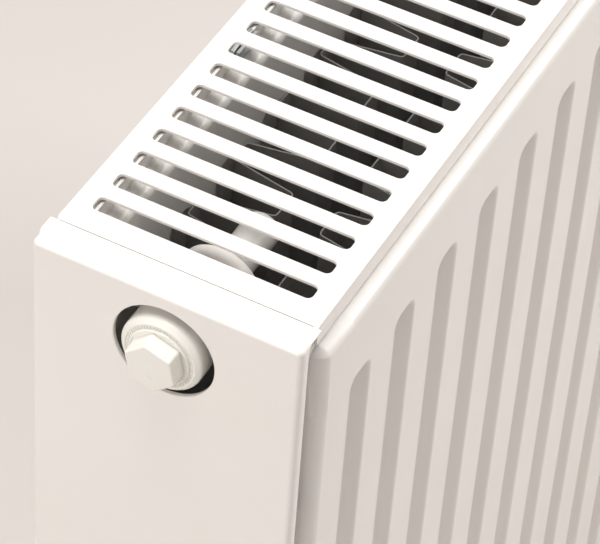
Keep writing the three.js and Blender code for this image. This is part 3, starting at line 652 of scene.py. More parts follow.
def pressed_sheet(node, sizes, outward, ports):
    """One pressed sheet of a water panel, facing outward (-1 to the room, +1 to the wall)."""
    low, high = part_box(node)
    middle_x = (low.x + high.x) / 2
    back = high.y if outward < 0 else low.y
    pillow_x = (low.x + sizes.rim_side, high.x - sizes.rim_side)
    pillow_z = (low.z + sizes.rim_bottom, high.z - sizes.rim_top)
    groove_z = (low.z + sizes.groove_inset, COVER_LEFT[1].z - sizes.groove_inset)
    xs = edge_stations(*pillow_x, sizes.shoulder, low.x, high.x) + groove_stations(sizes, middle_x)
    zs = edge_stations(*pillow_z, sizes.shoulder, low.z, high.z)
    divisions = 9
    for i in range(divisions + 1):
        step = sizes.groove_slope * i / divisions
        zs += [groove_z[0] + step, groove_z[1] - step]
    zs += [groove_z[0] - 0.4 * MM, groove_z[1] + 0.4 * MM, (groove_z[0] + groove_z[1]) / 2]
    bore = 8 * MM
    for x, z in ports:
        turns = [math.pi * i / 8 for i in range(9)]
        xs += [x + bore * math.cos(turn) for turn in turns]
        zs += [z + bore * math.cos(turn) for turn in turns]
    xs = thinned(xs)
    zs = thinned(zs)
    rise = high.y - low.y - sizes.sheet
    pillow_half = ((pillow_x[1] - pillow_x[0]) / 2, (pillow_z[1] - pillow_z[0]) / 2)
    groove_half = (sizes.groove_mouth / 2, (groove_z[1] - groove_z[0]) / 2)
    groove_middle = (groove_z[0] + groove_z[1]) / 2

    def height(x, z):
        inside = depth_inside(x - middle_x, z - sum(pillow_z) / 2, *pillow_half, sizes.corner)
        lifted = sizes.sheet + rise * quarter_round(inside / sizes.shoulder)
        nearest = round((x - middle_x) / sizes.groove_pitch)
        reach = (sizes.groove_count - 1) // 2
        nearest = max(-reach, min(reach, nearest))
        sunk = depth_inside(x - middle_x - nearest * sizes.groove_pitch, z - groove_middle, *groove_half,
                            sizes.groove_corner)
        return lifted - sizes.groove_depth * smooth(sunk / sizes.groove_slope)

    bm = bmesh.new()
    bmesh.ops.create_grid(bm, x_segments=len(xs) - 1, y_segments=len(zs) - 1, size=1.0)
    for vert in bm.verts:
        x = xs[round((vert.co.x + 1) / 2 * (len(xs) - 1))]
        z = zs[round((vert.co.y + 1) / 2 * (len(zs) - 1))]
        vert.co = (x, back + outward * height(x, z), z)
    for x, z in ports:
        open_port(bm, x, z, bore)
    bm.normal_update()
    face_towards(bm, (0, outward, 0))
    return bm


def thinned(stations, gap=0.05 * MM):
    """The stations in order, without those that nearly meet."""
    kept = []
    for station in sorted(stations):
        if not kept or station - kept[-1] > gap:
            kept.append(station)
    return kept


def open_port(bm, x, z, radius):
    """Cut a round hole through a grid sheet."""
    def distance(point):
        return math.hypot(point.x - x, point.z - z)
    inside = [face for face in bm.faces if distance(face.calc_center_median()) < radius]
    bmesh.ops.delete(bm, geom=inside, context="FACES")
    for vert in bm.verts:
        reach = distance(vert.co)
        if vert.is_boundary and reach < 1.3 * radius:
            vert.co.x = x + (vert.co.x - x) * radius / reach
            vert.co.z = z + (vert.co.z - z) * radius / reach


class RADIATOR_OT_water_panels(bpy.types.Operator):
    """Press the two sheets of each water panel"""
    bl_idname = "radiator.water_panels"
    bl_label = "Water panels"

    def execute(self, context):
        sizes = context.scene.radiator_panels
        depth = context.scene.radiator_valve.cross_tube
        ports = []
        for side, inward in (("left", 1), ("right", -1)):
            for level in ("top", "bottom"):
                mouth = port(side, level).translation
                ports.append((mouth.x + depth * inward, mouth.z))
        for node, outward, holes in (
                ("front_panel_outer_sheet", -1, []), ("front_panel_inner_sheet", 1, ports),
                ("rear_panel_inner_sheet", -1, ports), ("rear_panel_outer_sheet", 1, [])):
            sheet = pressed_sheet(node, sizes, outward, holes)
            add_wall(finish_piece(node + "_pressing", sheet, node, 50.0), sizes.sheet)
        return {"FINISHED"}


# ---- Convectors ----
def convector_line(node, sizes, outward):
    """The folded line of a convector; its near flats lie against the panel on the outward side."""
    low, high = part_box(node)
    half = sizes.fin_sheet / 2
    near, far = (low.y + half, high.y - half) if outward < 0 else (high.y - half, low.y + half)
    middle = (GRILLE[0].x + GRILLE[1].x) / 2
    flats = ((0.1, 0.4, near), (0.55, 0.95, far))
    line = []
    for i in range(sizes.fin_folds):
        for start, end, y in flats:
            for share in (start, end):
                x = (i - sizes.fin_folds / 2 + share) * sizes.groove_pitch
                line.append((middle - outward * x if outward < 0 else middle + x, y))
    return line


class RADIATOR_OT_convectors(bpy.types.Operator):
    """Fold the two convectors"""
    bl_idname = "radiator.convectors"
    bl_label = "Convectors"

    def execute(self, context):
        sizes = context.scene.radiator_panels
        for node, outward in (("front_convector", -1), ("rear_convector", 1)):
            low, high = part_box(node)
            fins = folded(convector_line(node, sizes, outward), low.z, high.z, sizes.fin_bend, 4)
            shown = finish_piece(node + "_fins", fins, node)
            add_wall(shown, sizes.fin_sheet, 0.0, 0.08 * MM)
        return {"FINISHED"}


# ---- Covers and grille ----
def side_cover(node, sizes):
    """A folded side cover with two round holes."""
    low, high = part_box(node)
    is_left = low.x < 0
    outer, inward = (low.x, 1) if is_left else (high.x, -1)
    foot = sizes.foot_inset
    outline = [
        (high.y, low.z), (high.y, high.z), (low.y, high.z), (low.y, low.z), (low.y + foot, low.z),
        (high.y - foot, low.z)]
    bm = bmesh.new()
    corners = [bm.verts.new((outer, y, z)) for y, z in outline]
    rims = [bm.edges.new(pair) for pair in zip(corners, corners[1:] + corners[:1])]
    rear, top, front, _, bottom, _ = rims
    for level in ("top", "bottom"):
        centre = port("left", level).translation
        matrix = Matrix.Translation((outer, centre.y, centre.z)) @ Matrix.Rotation(math.pi / 2, 4, "Y")
        bmesh.ops.create_circle(bm, cap_ends=False, radius=sizes.hole, segments=96, matrix=matrix)
    holes = [edge for edge in bm.edges if edge not in rims]
    bmesh.ops.triangle_fill(bm, use_beauty=True, edges=bm.edges[:])
    drawn_in(bm, [rear, top, front], inward * sizes.lip)
    corner_folds = [edge for vert in corners[1:3] for edge in vert.link_edges
                    if edge not in rims and abs(edge.verts[0].co.x - edge.verts[1].co.x) > 0.5 * sizes.lip]
    inner_edge = [edge for edge in bm.edges if edge.is_boundary and edge.calc_length() > 0.05
                  and all(abs(vert.co.z - high.z) < 0.01 * MM for vert in edge.verts)]
    drawn_in(bm, inner_edge, inward * (sizes.flange - sizes.lip))
    drawn_in(bm, [bottom], inward * sizes.flange)
    drawn_in(bm, holes, inward * 1.6 * MM)
    bmesh.ops.recalc_face_normals(bm, faces=bm.faces)
    face_towards(bm, (-inward, 0, 0))
    round_edges(bm, sizes.hole_rim, 3, edges=holes)
    return round_edges(bm, sizes.fold, 6, edges=[rear, top, front, bottom] + corner_folds)


def drawn_in(bm, edges, distance):
    """Extend a sheet from some of its edges along X."""
    drawn = bmesh.ops.extrude_edge_only(bm, edges=edges)["geom"]
    bmesh.ops.translate(bm, verts=[v for v in drawn if isinstance(v, bmesh.types.BMVert)],
                        vec=(distance, 0, 0))


class RADIATOR_OT_side_covers(bpy.types.Operator):
    """Fold the two side covers"""
    bl_idname = "radiator.side_covers"
    bl_label = "Side covers"

    def execute(self, context):
        sizes = context.scene.radiator_covers
        for node in ("side_cover_left", "side_cover_right"):
            add_wall(finish_piece(node + "_folded", side_cover(node, sizes), node, 50.0), sizes.sheet)
        return {"FINISHED"}


def slot_outline(bm, low, high, corner, level):
    """The closed outline of a slot with round corners."""
    verts = []
    for turn, x, y in ((0, high.x, high.y), (1, low.x, high.y), (2, low.x, low.y), (3, high.x, low.y)):
        centre = (x - math.copysign(corner, x - (low.x + high.x) / 2),
                  y - math.copysign(corner, y - (low.y + high.y) / 2))
        for step in range(7):
            a = (turn + step / 6) * math.pi / 2
            x, y = centre[0] + corner * math.cos(a), centre[1] + corner * math.sin(a)
            verts.append(bm.verts.new((x, y, level)))
    return [bm.edges.new(pair) for pair in zip(verts, verts[1:] + verts[:1])]


def grille_sheet(sizes):
    """The slotted grille with its two long skirts."""
    low, high = GRILLE
    middle_x = (low.x + high.x) / 2
    slots_y = (low.y + sizes.room_margin, high.y - sizes.wall_margin)
    half_slot = sizes.slot_width / 2
    bm = bmesh.new()
    corners = [bm.verts.new(place) for place in (
        (low.x, low.y, high.z), (high.x, low.y, high.z), (high.x, high.y, high.z), (low.x, high.y, high.z))]
    sides = [bm.edges.new(pair) for pair in zip(corners, corners[1:] + corners[:1])]
    rims = []
    for i in range(sizes.slot_count):
        x = middle_x + (i - (sizes.slot_count - 1) / 2) * sizes.slot_pitch
        rims += slot_outline(bm, Vector((x - half_slot, slots_y[0])), Vector((x + half_slot, slots_y[1])),
                             sizes.slot_corner, high.z)
    bmesh.ops.triangle_fill(bm, use_beauty=True, edges=bm.edges[:])
    for edges, drop in ((rims, 1.3 * sizes.sheet), ([sides[0], sides[2]], high.z - low.z)):
        lowered = bmesh.ops.extrude_edge_only(bm, edges=edges)["geom"]
        moving = [v for v in lowered if isinstance(v, bmesh.types.BMVert)]
        bmesh.ops.translate(bm, verts=moving, vec=(0, 0, -drop))
    bmesh.ops.recalc_face_normals(bm, faces=bm.faces)
    face_towards(bm, (0, 0, 1))
    round_edges(bm, sizes.slot_rim, 3, edges=rims)
    long_edges = [e for e in bm.edges if e.is_manifold and e.calc_face_angle() > math.radians(60)
                  and e.calc_length() > 0.1]
    return round_edges(bm, sizes.grille_fold, 5, edges=long_edges)


class RADIATOR_OT_top_grille(bpy.types.Operator):
    """Punch and fold the top grille"""
    bl_idname = "radiator.top_grille"
    bl_label = "Top grille"

    def execute(self, context):
        sizes = context.scene.radiator_covers
        shown = finish_piece("top_grille_punched", grille_sheet(sizes), "top_grille", 50.0)
        add_wall(shown, sizes.sheet * 0.9, edge=0.12 * MM)
        return {"FINISHED"}


# ---- Hubs ----
# Depths and radii in millimetres, the depths counted from the side cover's face.
HUB_MOUTH = 10
HUB_END = 40.3
HUB_RADIUS = 12.5
VALVE_HUB_RADIUS = 15
HUB_BORE = 9.5
HUB_BORE_END = 37
CROSS_TUBE_RADIUS = 10.5
CROSS_TUBE_BORE = 8
SEAT_FACE = 38
SEAT_BORE = 3.5
SEAT_END = 43
ARM_RADIUS = 7
ARM_END = 70
ARM_BORE = 5
ARM_BORE_END = 67
RISER_DEPTH = 62
RISER_BORE = 3.8


def cross_tube(node, depth):
    """The ends and the place of the tube that joins a hub to both panels, and its two weld beads."""
    low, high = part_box(node)
    matrix = port("left" if low.x < 0 else "right", "top" if low.z > 0.2 else "bottom")
    start = (low.y - matrix.translation.y) / MM
    end = (high.y - matrix.translation.y) / MM
    if low.x > 0:
        start, end = -end, -start
    beads = [turned(ring_section(at, 10.6, 1.1, 10), 48) for at in (start + 1.1, end - 1.1)]
    place = Matrix.Translation((depth, 0, 0)) @ Matrix.Rotation(math.pi / 2, 4, "Z")
    return [moved(bead, place) for bead in beads], start, end, place


def hub(node, depth, is_fed):
    """A corner hub; the fed one has the valve seat and the arm that takes the riser pipe."""
    low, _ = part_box(node)
    side, level = ("left" if low.x < 0 else "right"), ("top" if low.z > 0.2 else "bottom")
    beads, start, end, place = cross_tube(node, depth)
    radius = VALVE_HUB_RADIUS if is_fed else HUB_RADIUS
    outside = turned([
        (HUB_MOUTH, 0), (HUB_MOUTH, radius - 0.9), (HUB_MOUTH + 0.8, radius), (HUB_END - 1.1, radius),
        (HUB_END, radius - 1.1), (HUB_END, 0)], 64)
    crossing = turned([
        (start, 0), (start, CROSS_TUBE_RADIUS), (end, CROSS_TUBE_RADIUS), (end, 0)], 48)
    outside = combined(outside, moved(crossing, place), "UNION")
    if is_fed:
        arm = turned([
            (HUB_END - 1.3, 0), (HUB_END - 1.3, ARM_RADIUS), (ARM_END - 1.2, ARM_RADIUS),
            (ARM_END, ARM_RADIUS - 1.2), (ARM_END, 0)], 48)
        outside = combined(outside, arm, "UNION")
    bore = turned([
        (start - 1, 0), (start - 1, CROSS_TUBE_BORE), (end + 1, CROSS_TUBE_BORE), (end + 1, 0)], 48)
    outside = combined(outside, moved(bore, place), "DIFFERENCE")
    mouth = HUB_MOUTH - 1
    if is_fed:
        inside = turned([
            (mouth, 0), (mouth, HUB_BORE), (SEAT_FACE, HUB_BORE), (SEAT_FACE, SEAT_BORE),
            (SEAT_END, SEAT_BORE), (SEAT_END, ARM_BORE), (ARM_BORE_END, ARM_BORE), (ARM_BORE_END, 0)], 48)
        outside = combined(outside, inside, "DIFFERENCE")
        drop = turned([(-HUB_RADIUS, 0), (-HUB_RADIUS, RISER_BORE), (0, RISER_BORE), (0, 0)], 32)
        outside = combined(outside, moved(drop, upright(RISER_DEPTH * MM, 0, 0)), "DIFFERENCE")
    else:
        inside = turned([(mouth, 0), (mouth, HUB_BORE), (HUB_BORE_END, HUB_BORE), (HUB_BORE_END, 0)], 48)
        outside = combined(outside, inside, "DIFFERENCE")
    return moved(gathered(outside, *beads), port(side, level))


class RADIATOR_OT_hubs(bpy.types.Operator):
    """Weld the four corner hubs"""
    bl_idname = "radiator.hubs"
    bl_label = "Corner hubs"

    def execute(self, context):
        depth = context.scene.radiator_valve.cross_tube
        for level in ("top", "bottom"):
            for side in ("left", "right"):
                node = f"hub_{level}_{side}"
                is_fed = node == "hub_top_left"
                keep_flats(finish_piece(node + "_welded", hub(node, depth, is_fed), node, 40.0))
        return {"FINISHED"}


# ---- Valve ----
def valve_cap(sizes):
    """The round cap: stepped rings, small ribs on the middle ring and a hexagonal grip."""
    rim = sizes.cap_radius / MM
    face = -sizes.cap_face / MM
    shell = turned([
        (face + 0.35, 0), (face + 0.35, 10.7), (face, 10.9), (face, 11.3), (face + 0.3, 11.6),
        (face + 0.9, 11.75), (face + 0.9, 12.9), (face + 0.55, 13.05), (face + 0.55, 13.7),
        (face + 0.85, 13.95), (face + 1.4, rim - 0.75), (face + 2.1, rim - 0.2), (face + 2.9, rim),
        (7.7, rim), (8, rim - 0.3), (8, rim - 1.45), (face + 2.2, rim - 1.45), (face + 1.5, rim - 2.2),
        (face + 1.5, 0)], 96)
    grip = prism(sizes.grip_corner / MM, face - sizes.grip_rise / MM, face + 0.7, 6)
    moved(grip, Matrix.Rotation(sizes.grip_turn, 4, "X"))
    front = (face + 0.1) * MM - sizes.grip_rise
    for vert in grip.verts:
        if vert.co.x < front:
            vert.co.y *= 0.975
            vert.co.z *= 0.975
    outer_edges = [e for e in grip.edges if min(v.co.x for v in e.verts) < front]
    round_edges(grip, sizes.grip_rounding, 4, edges=outer_edges)
    rib = block(((face + 0.55) * MM, -0.2 * MM, 11.9 * MM), ((face + 1.1) * MM, 0.2 * MM, 12.75 * MM))
    round_edges(rib, 0.1 * MM, 1)
    bmesh.ops.spin(rib, geom=rib.verts[:] + rib.edges[:] + rib.faces[:], cent=(0, 0, 0), axis=(1, 0, 0),
                   dvec=(0, 0, 0), angle=2 * math.pi * (1 - 1 / sizes.cap_ribs), steps=sizes.cap_ribs - 1,
                   use_duplicate=True)
    return gathered(shell, grip, rib)


def coil(start, end, radius, wire, turns):
    """A wound spring along X, in millimetres, with capped wire ends."""
    bm = bmesh.new()
    matrix = Matrix.Translation((start * MM, 0, radius * MM))
    bmesh.ops.create_circle(bm, cap_ends=True, radius=wire * MM, segments=12,
                            matrix=matrix @ Matrix.Rotation(math.pi / 2, 4, "X"))
    steps = turns * 28
    bmesh.ops.spin(bm, geom=bm.verts[:] + bm.edges[:] + bm.faces[:], cent=(0, 0, 0), axis=(1, 0, 0),
                   dvec=((end - start) * MM / steps, 0, 0), angle=2 * math.pi * turns, steps=steps)
    return tidy(bm)


class RADIATOR_OT_valve(bpy.types.Operator):
    """Turn the valve insert, its moving parts and the cap"""
    bl_idname = "radiator.valve"
    bl_label = "Valve"

    def execute(self, context):
        sizes = context.scene.radiator_valve
        place = port("left", "top")
        pitch = sizes.thread_pitch / MM
        insert = turned(
            [(2.8, 4.2), (2.8, 12.9)] + thread(3.2, 6.2, 12.9, 13.7, 1.5)
            + [(6.4, 12.5), (8, 12.5), (8, 8.4)] + thread(8.6, 23.6, 8.4, 9.2, pitch)
            + [(24, 7), (33, 7), (33, 6), (28, 6), (28, 2.2), (25, 2.2), (25, 6), (12, 6), (12, 4.2)])
        gland = round_edges(turned([(3.4, 1.8), (3.4, 3.9), (11, 3.9), (11, 1.8)], 40), 0.25 * MM, 2)
        pin = turned([(-1.5, 0), (-1.5, 1.2), (-1.2, 1.5), (12.4, 1.5), (12.4, 3.8), (14, 3.8), (14, 1.5),
                      (35.6, 1.5), (35.6, 0)], 32)
        disc = round_edges(turned([(33.5, 1.8), (33.5, 5), (35.9, 5), (35.9, 1.8)], 40), 0.3 * MM, 2)
        ring = turned(ring_section(9, 10.8, 0.7), 64)
        pieces = {
            "valve_insert_body": insert, "valve_gland": gland, "valve_pin": pin, "valve_disc": disc,
            "valve_spring": coil(15.35, 23.65, 3.6, 0.45, 5), "valve_seal_ring": ring,
            "valve_cap": valve_cap(sizes)}
        for node, bm in pieces.items():
            keep_flats(finish_piece(node + "_turned", moved(bm, place), node, 40.0))
        return {"FINISHED"}


# ---- Air vent and blind plugs ----
def vent_nozzle():
    """The turnable ring with its spout."""
    ring = turned([(0.4, 7.3), (0.4, 10.0), (0.9, 10.6), (3.4, 11), (3.7, 10.8), (3.7, 7.3)], 56)
    down = upright(2.1 * MM, 0, 0)
    spout = moved(turned([(-14.5, 0), (-14.5, 1.3), (-14.2, 1.6), (-9, 1.75), (-9, 0)], 28), down)
    bore = moved(turned([(-15, 0), (-15, 0.8), (-6, 0.8), (-6, 0)], 20), down)
    return combined(combined(ring, spout, "UNION"), bore, "DIFFERENCE")


class RADIATOR_OT_air_vent(bpy.types.Operator):
    """Turn the air vent, its nozzle and its bleed screw"""
    bl_idname = "radiator.air_vent"
    bl_label = "Air vent"

    def execute(self, context):
        pitch = context.scene.radiator_valve.thread_pitch / MM
        place = port("right", "top")
        body = turned(
            [(1, 2.7), (1, 6.7), (1.3, 7), (4, 7), (4, 12.6), (4.4, 13), (7.6, 13), (8, 12.6), (8, 8.4)]
            + thread(8.6, 23.4, 8.4, 9.2, pitch) + [(24, 8.2), (24, 1), (14, 1), (14, 2.7)])
        shank = turned([(0.5, 0), (0.5, 2.4), (12.4, 2.4), (13, 1.8), (13, 0)], 40)
        half = 2.5 * MM
        head = round_edges(block((-half, -half, -half), (0.8 * MM, half, half)), 0.3 * MM, 2)
        slit = block((-3 * MM, -0.5 * MM, -3 * MM), (-1.5 * MM, 0.5 * MM, 3 * MM))
        screw = combined(combined(shank, head, "UNION"), slit, "DIFFERENCE")
        seal = round_edges(turned([(13.3, 0), (13.3, 2.2), (13.8, 2.2), (13.8, 0)], 32), 0.12 * MM, 2)
        pieces = {
            "vent_plug_body": body, "vent_nozzle": vent_nozzle(), "bleed_screw": screw,
            "bleed_screw_seal": seal, "vent_seal_ring": turned(ring_section(9, 10.8, 0.7), 64)}
        for node, bm in pieces.items():
            keep_flats(finish_piece(node + "_turned", moved(bm, place), node, 40.0))
        return {"FINISHED"}


class RADIATOR_OT_blind_plugs(bpy.types.Operator):
    """Turn the two blind plugs of the lower ports"""
    bl_idname = "radiator.blind_plugs"
    bl_label = "Blind plugs"

    def execute(self, context):
        pitch = context.scene.radiator_valve.thread_pitch / MM
        for side in ("left", "right"):
            plug = turned(
                [(3.4, 0), (3.4, 8.6), (3, 9.2), (3, 13.6), (3.3, 14.3), (3.9, 14.8), (4.6, 15), (7.6, 15),
                 (8, 14.6), (8, 8.4)] + thread(8.6, 21.4, 8.4, 9.2, pitch) + [(22, 8.2), (22, 0)])
            plug = combined(plug, prism(6, 2, 6.5, 6), "DIFFERENCE")
            ring = turned(ring_section(9, 10.8, 0.7), 64)
            for node, bm in ((f"blind_plug_{side}", plug), (f"blind_plug_{side}_seal", ring)):
                keep_flats(finish_piece(node + "_turned", moved(bm, port(side, "bottom")), node, 40.0))
        return {"FINISHED"}


# ---- Pipework ----
def nipple_profile(top):
    """The outside of a threaded nipple from its lower end, in millimetres."""
    neck = [(15.5, 12.1), (17, 12.1), (17, 12.8), (17.4, 13.2), (top - 0.5, 13.2), (top, 12.6)]
    return [(0, 12.2)] + thread(0.8, 14.5, 12.3, 13.2, 1.8) + neck


class RADIATOR_OT_pipework(bpy.types.Operator):
    """Make the riser pipe, both nipples and the plate that holds them"""
    bl_idname = "radiator.pipework"
    bl_label = "Pipework"

    def execute(self, context):
        low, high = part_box("flow_nipple")
        x, y = (low.x + high.x) / 2, (low.y + high.y) / 2
        height = (high.z - low.z) / MM
        bore = [(height, 3.8), (height - 4, 3.8), (height - 4, 8), (3, 8)]
        nipple = moved(turned([(0, 8.9)] + nipple_profile(height) + bore), upright(x, y, low.z))
        keep_flats(finish_piece("flow_nipple_turned", nipple, "flow_nipple", 40.0))
        foot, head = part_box("riser_pipe")
        rise = (head.z - foot.z) / MM
        pipe = turned([(0, 3.8), (0, 4.7), (0.3, 5), (rise - 0.3, 5), (rise, 4.7), (rise, 3.8)], 48)
        keep_flats(finish_piece("riser_pipe_drawn", moved(pipe, upright(x, y, foot.z)), "riser_pipe", 40.0))
        self.make_tee(x + context.scene.radiator_valve.nipple_spacing, y)
        self.make_bracket(x, context.scene.radiator_valve.nipple_spacing, y)
        return {"FINISHED"}

    def make_tee(self, x, y):
        """The return nipple with its cross tube to both panels."""
        low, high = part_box("return_tee")
        level = port("left", "bottom").translation.z
        rise = (level - low.z) / MM
        width = (high.y - low.y) / MM
        nipple = moved(turned([(0, 0)] + nipple_profile(rise) + [(rise, 0)]), upright(x, y, low.z))
        tube = moved(turned([(0, 0), (0, 10.5), (width, 10.5), (width, 0)], 48), across(x, low.y, level))
        tee = combined(nipple, tube, "UNION")
        bore = moved(turned([(-1, 0), (-1, 10), (3, 8), (rise, 8), (rise, 0)], 48), upright(x, y, low.z))
        tee = combined(tee, bore, "DIFFERENCE")
        through = turned([(-1, 0), (-1, 8), (width + 1, 8), (width + 1, 0)], 48)
        through = moved(through, across(x, low.y, level))
        tee = combined(tee, through, "DIFFERENCE")
        keep_flats(finish_piece("return_tee_welded", tee, "return_tee", 40.0))

    def make_bracket(self, x, spacing, y):
        """The plate round both nipples."""
        low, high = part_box("nipple_bracket")
        bm = bmesh.new()
        outline = ((low.x, low.y), (high.x, low.y), (high.x, high.y), (low.x, high.y))
        corners = [bm.verts.new((*place, high.z)) for place in outline]
        for pair in zip(corners, corners[1:] + corners[:1]):
            bm.edges.new(pair)
        for centre in (x, x + spacing):
            bmesh.ops.create_circle(bm, cap_ends=False, radius=13.5 * MM, segments=48,
                                    matrix=Matrix.Translation((centre, y, high.z)))
        bmesh.ops.triangle_fill(bm, use_beauty=True, edges=bm.edges[:])
        bm.normal_update()
        face_towards(bm, (0, 0, 1))
        shown = finish_piece("nipple_bracket_plate", bm, "nipple_bracket", 40.0)
        add_wall(shown, high.z - low.z, edge=0.3 * MM)


# ---- Lugs and clips ----
class RADIATOR_OT_hanging_lugs(bpy.types.Operator):
    """Fold the four hanging lugs on the wall side"""
    bl_idname = "radiator.hanging_lugs"
    bl_label = "Hanging lugs"

    def execute(self, context):
        sheet = context.scene.radiator_panels.lug_sheet
        for place in ("top_left", "top_right", "bottom_left", "bottom_right"):
            node = "hanging_lug_" + place
            low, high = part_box(node)
            x = (low.x + high.x) / 2
            foot = low.y + sheet
            line = [(x - 19 * MM, foot), (x - 11 * MM, foot), (x - 9 * MM, high.y), (x + 9 * MM, high.y),
                    (x + 11 * MM, foot), (x + 19 * MM, foot)]
            strap = folded(line, low.z, high.z, 1.6 * MM)
            face_towards(strap, (0, 1, 0))
            add_wall(finish_piece(node + "_folded", strap, node, 50.0), sheet, edge=0.3 * MM)
        return {"FINISHED"}


class RADIATOR_OT_clips(bpy.types.Operator):
    """Bend the spring clips of the grille and the side covers"""
    bl_idname = "radiator.clips"
    bl_label = "Spring clips"

    def execute(self, context):
        for node in sorted(node for node in frame["nodes"] if node.startswith("cover_clip_")):
            self.make_cover_clip(node)
        for node in sorted(node for node in frame["nodes"] if node.startswith("grille_clip_")):
            self.make_grille_clip(node)
        return {"FINISHED"}

    def make_cover_clip(self, node):
        """A U-shaped clip over the upright rim of a panel."""
        low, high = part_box(node)
        wall = 0.5 * MM
        closed, opened = (low.x, high.x) if low.x < 0 else (high.x, low.x)
        line = [(opened, low.y), (closed, low.y), (closed, high.y), (opened, high.y)]
        clip = folded(line, low.z, high.z, 0.9 * MM)
        face_towards(clip, (-1 if low.x < 0 else 1, 0, 0))
        add_wall(finish_piece(node + "_bent", clip, node, 50.0), wall, edge=0.08 * MM)

    def make_grille_clip(self, node):
        """A hairpin spring with two wings under the grille."""
        low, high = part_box(node)
        wall = 0.3 * MM
        middle = (low.y + high.y) / 2
        top = high.z - low.z
        line = [(low.y - middle, top), (-0.35 * MM, top), (-0.3 * MM, 0.1 * MM), (0.3 * MM, 0.1 * MM),
                (0.35 * MM, top), (high.y - middle, top)]
        clip = folded(line, 0.0, high.x - low.x, 0.25 * MM, 3)
        turn = Matrix(((0, 0, 1, low.x), (1, 0, 0, middle), (0, 1, 0, low.z), (0, 0, 0, 1)))
        moved(clip, turn)
        clip.normal_update()
        face_towards(clip, (0, 0, 1))
        add_wall(finish_piece(node + "_bent", clip, node, 50.0), wall, edge=0.05 * MM)


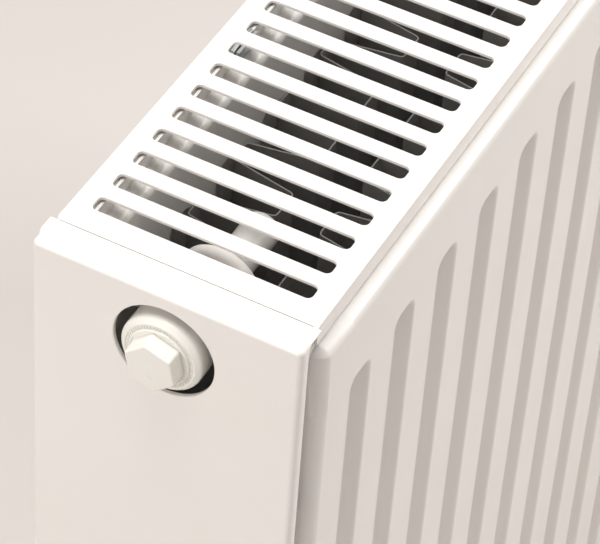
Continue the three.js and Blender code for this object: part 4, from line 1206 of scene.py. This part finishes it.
# ---- Studio ----
class RADIATOR_OT_studio(bpy.types.Operator):
    """Set up the floor, the soft lights and the camera"""
    bl_idname = "radiator.studio"
    bl_label = "Studio"

    def execute(self, context):
        settings = context.scene.radiator_studio
        self.make_floor(settings)
        self.make_surroundings(context.scene, settings)
        self.make_light("ceiling_light", settings.ceiling, 1.1, (-0.2, 0.1, 2.3), (-0.1, 0, 0.5))
        self.make_light("window_light", settings.window, 1.0, (-2.0, 0.6, 0.95), (-0.3, 0, 0.35))
        self.make_light("room_light", settings.room, 0.5, (0.75, -0.85, 0.95), (-0.1, -0.05, 0.35))
        self.make_camera(context.scene, settings)
        return {"FINISHED"}

    def make_floor(self, settings):
        """A wide pale floor."""
        bm = bmesh.new()
        bmesh.ops.create_grid(bm, x_segments=8, y_segments=8, size=7.0)
        mesh = bpy.data.meshes.new("floor")
        bm.to_mesh(mesh)
        bm.free()
        material, tree, shader = new_finish("pale_floor", settings.floor, 0.65)
        clouds = noise(tree, place_pattern(tree), 1.5, 3.0)
        vary_colour(tree, shader, clouds, tinted(settings.floor, (0.98, 0.98, 0.98)), settings.floor)
        mesh.materials.append(material)
        floor = bpy.data.objects.new("floor", mesh)
        bpy.context.scene.collection.objects.link(floor)

    def make_surroundings(self, scene, settings):
        """Even light from all round, and plain colours in the picture."""
        world = bpy.data.worlds.new("surroundings")
        world.use_nodes = True
        background = world.node_tree.nodes["Background"]
        background.inputs["Color"].default_value = (*settings.sky, 1.0)
        background.inputs["Strength"].default_value = settings.sky_strength
        scene.world = world
        scene.view_settings.view_transform = "Standard"

    def make_light(self, name, power, size, place, target):
        """A square soft light that faces a point."""
        light = bpy.data.lights.new(name, "AREA")
        light.shape = "SQUARE"
        light.size = size
        light.energy = power
        light.color = (1.0, 0.985, 0.965)
        shown = bpy.data.objects.new(name, light)
        bpy.context.scene.collection.objects.link(shown)
        aim = Vector(target) - Vector(place)
        shown.matrix_world = Matrix.Translation(place) @ aim.to_track_quat("-Z", "Y").to_matrix().to_4x4()

    def make_camera(self, scene, settings):
        """The camera looks down along the radiator from the valve end."""
        a, e, r = settings.azimuth, settings.elevation, settings.roll
        forward = Vector((math.cos(e) * math.cos(a), math.cos(e) * math.sin(a), -math.sin(e)))
        right = forward.cross(Vector((0, 0, 1))).normalized()
        down = forward.cross(right)
        rolled_right = math.cos(r) * right - math.sin(r) * down
        rolled_down = math.sin(r) * right + math.cos(r) * down
        aim = Vector((GRILLE[0].x + settings.aim_x, GRILLE[0].y + settings.aim_y, GRILLE[1].z))
        axes = Matrix((rolled_right, -rolled_down, -forward)).transposed().to_4x4()
        camera = bpy.data.cameras.new("camera")
        camera.lens = settings.lens
        camera.sensor_width = 36.0
        camera.sensor_fit = "HORIZONTAL"
        shown = bpy.data.objects.new("camera", camera)
        scene.collection.objects.link(shown)
        shown.matrix_world = Matrix.Translation(aim - forward * settings.distance) @ axes
        scene.camera = shown


OPERATORS = (
    RADIATOR_OT_studio,
    RADIATOR_OT_water_panels,
    RADIATOR_OT_convectors,
    RADIATOR_OT_side_covers,
    RADIATOR_OT_top_grille,
    RADIATOR_OT_hubs,
    RADIATOR_OT_valve,
    RADIATOR_OT_air_vent,
    RADIATOR_OT_blind_plugs,
    RADIATOR_OT_pipework,
    RADIATOR_OT_hanging_lugs,
    RADIATOR_OT_clips,
)


class RADIATOR_PT_build(bpy.types.Panel):
    """The steps that build the radiator and the sizes they use"""
    bl_idname = "RADIATOR_PT_build"
    bl_label = "Panel radiator"
    bl_space_type = "VIEW_3D"
    bl_region_type = "UI"
    bl_category = "Radiator"

    def draw(self, context):
        for step in OPERATORS:
            self.layout.operator(step.bl_idname)
        for group in GROUPS:
            box = self.layout.box()
            settings = getattr(context.scene, group)
            for name in settings.__annotations__:
                box.prop(settings, name)


def register():
    """Register the settings, the steps and the sidebar panel."""
    for name, group in GROUPS.items():
        bpy.utils.register_class(group)
        setattr(bpy.types.Scene, name, PointerProperty(type=group))
    for step in OPERATORS:
        bpy.utils.register_class(step)
    bpy.utils.register_class(RADIATOR_PT_build)


def unregister():
    """Take everything that register added away again."""
    bpy.utils.unregister_class(RADIATOR_PT_build)
    for step in reversed(OPERATORS):
        bpy.utils.unregister_class(step)
    for name, group in reversed(GROUPS.items()):
        delattr(bpy.types.Scene, name)
        bpy.utils.unregister_class(group)


def main():
    """Build everything in order."""
    register()
    for step in OPERATORS:
        family, name = step.bl_idname.split(".")
        getattr(getattr(bpy.ops, family), name)()


if __name__ == "__main__":
    main()
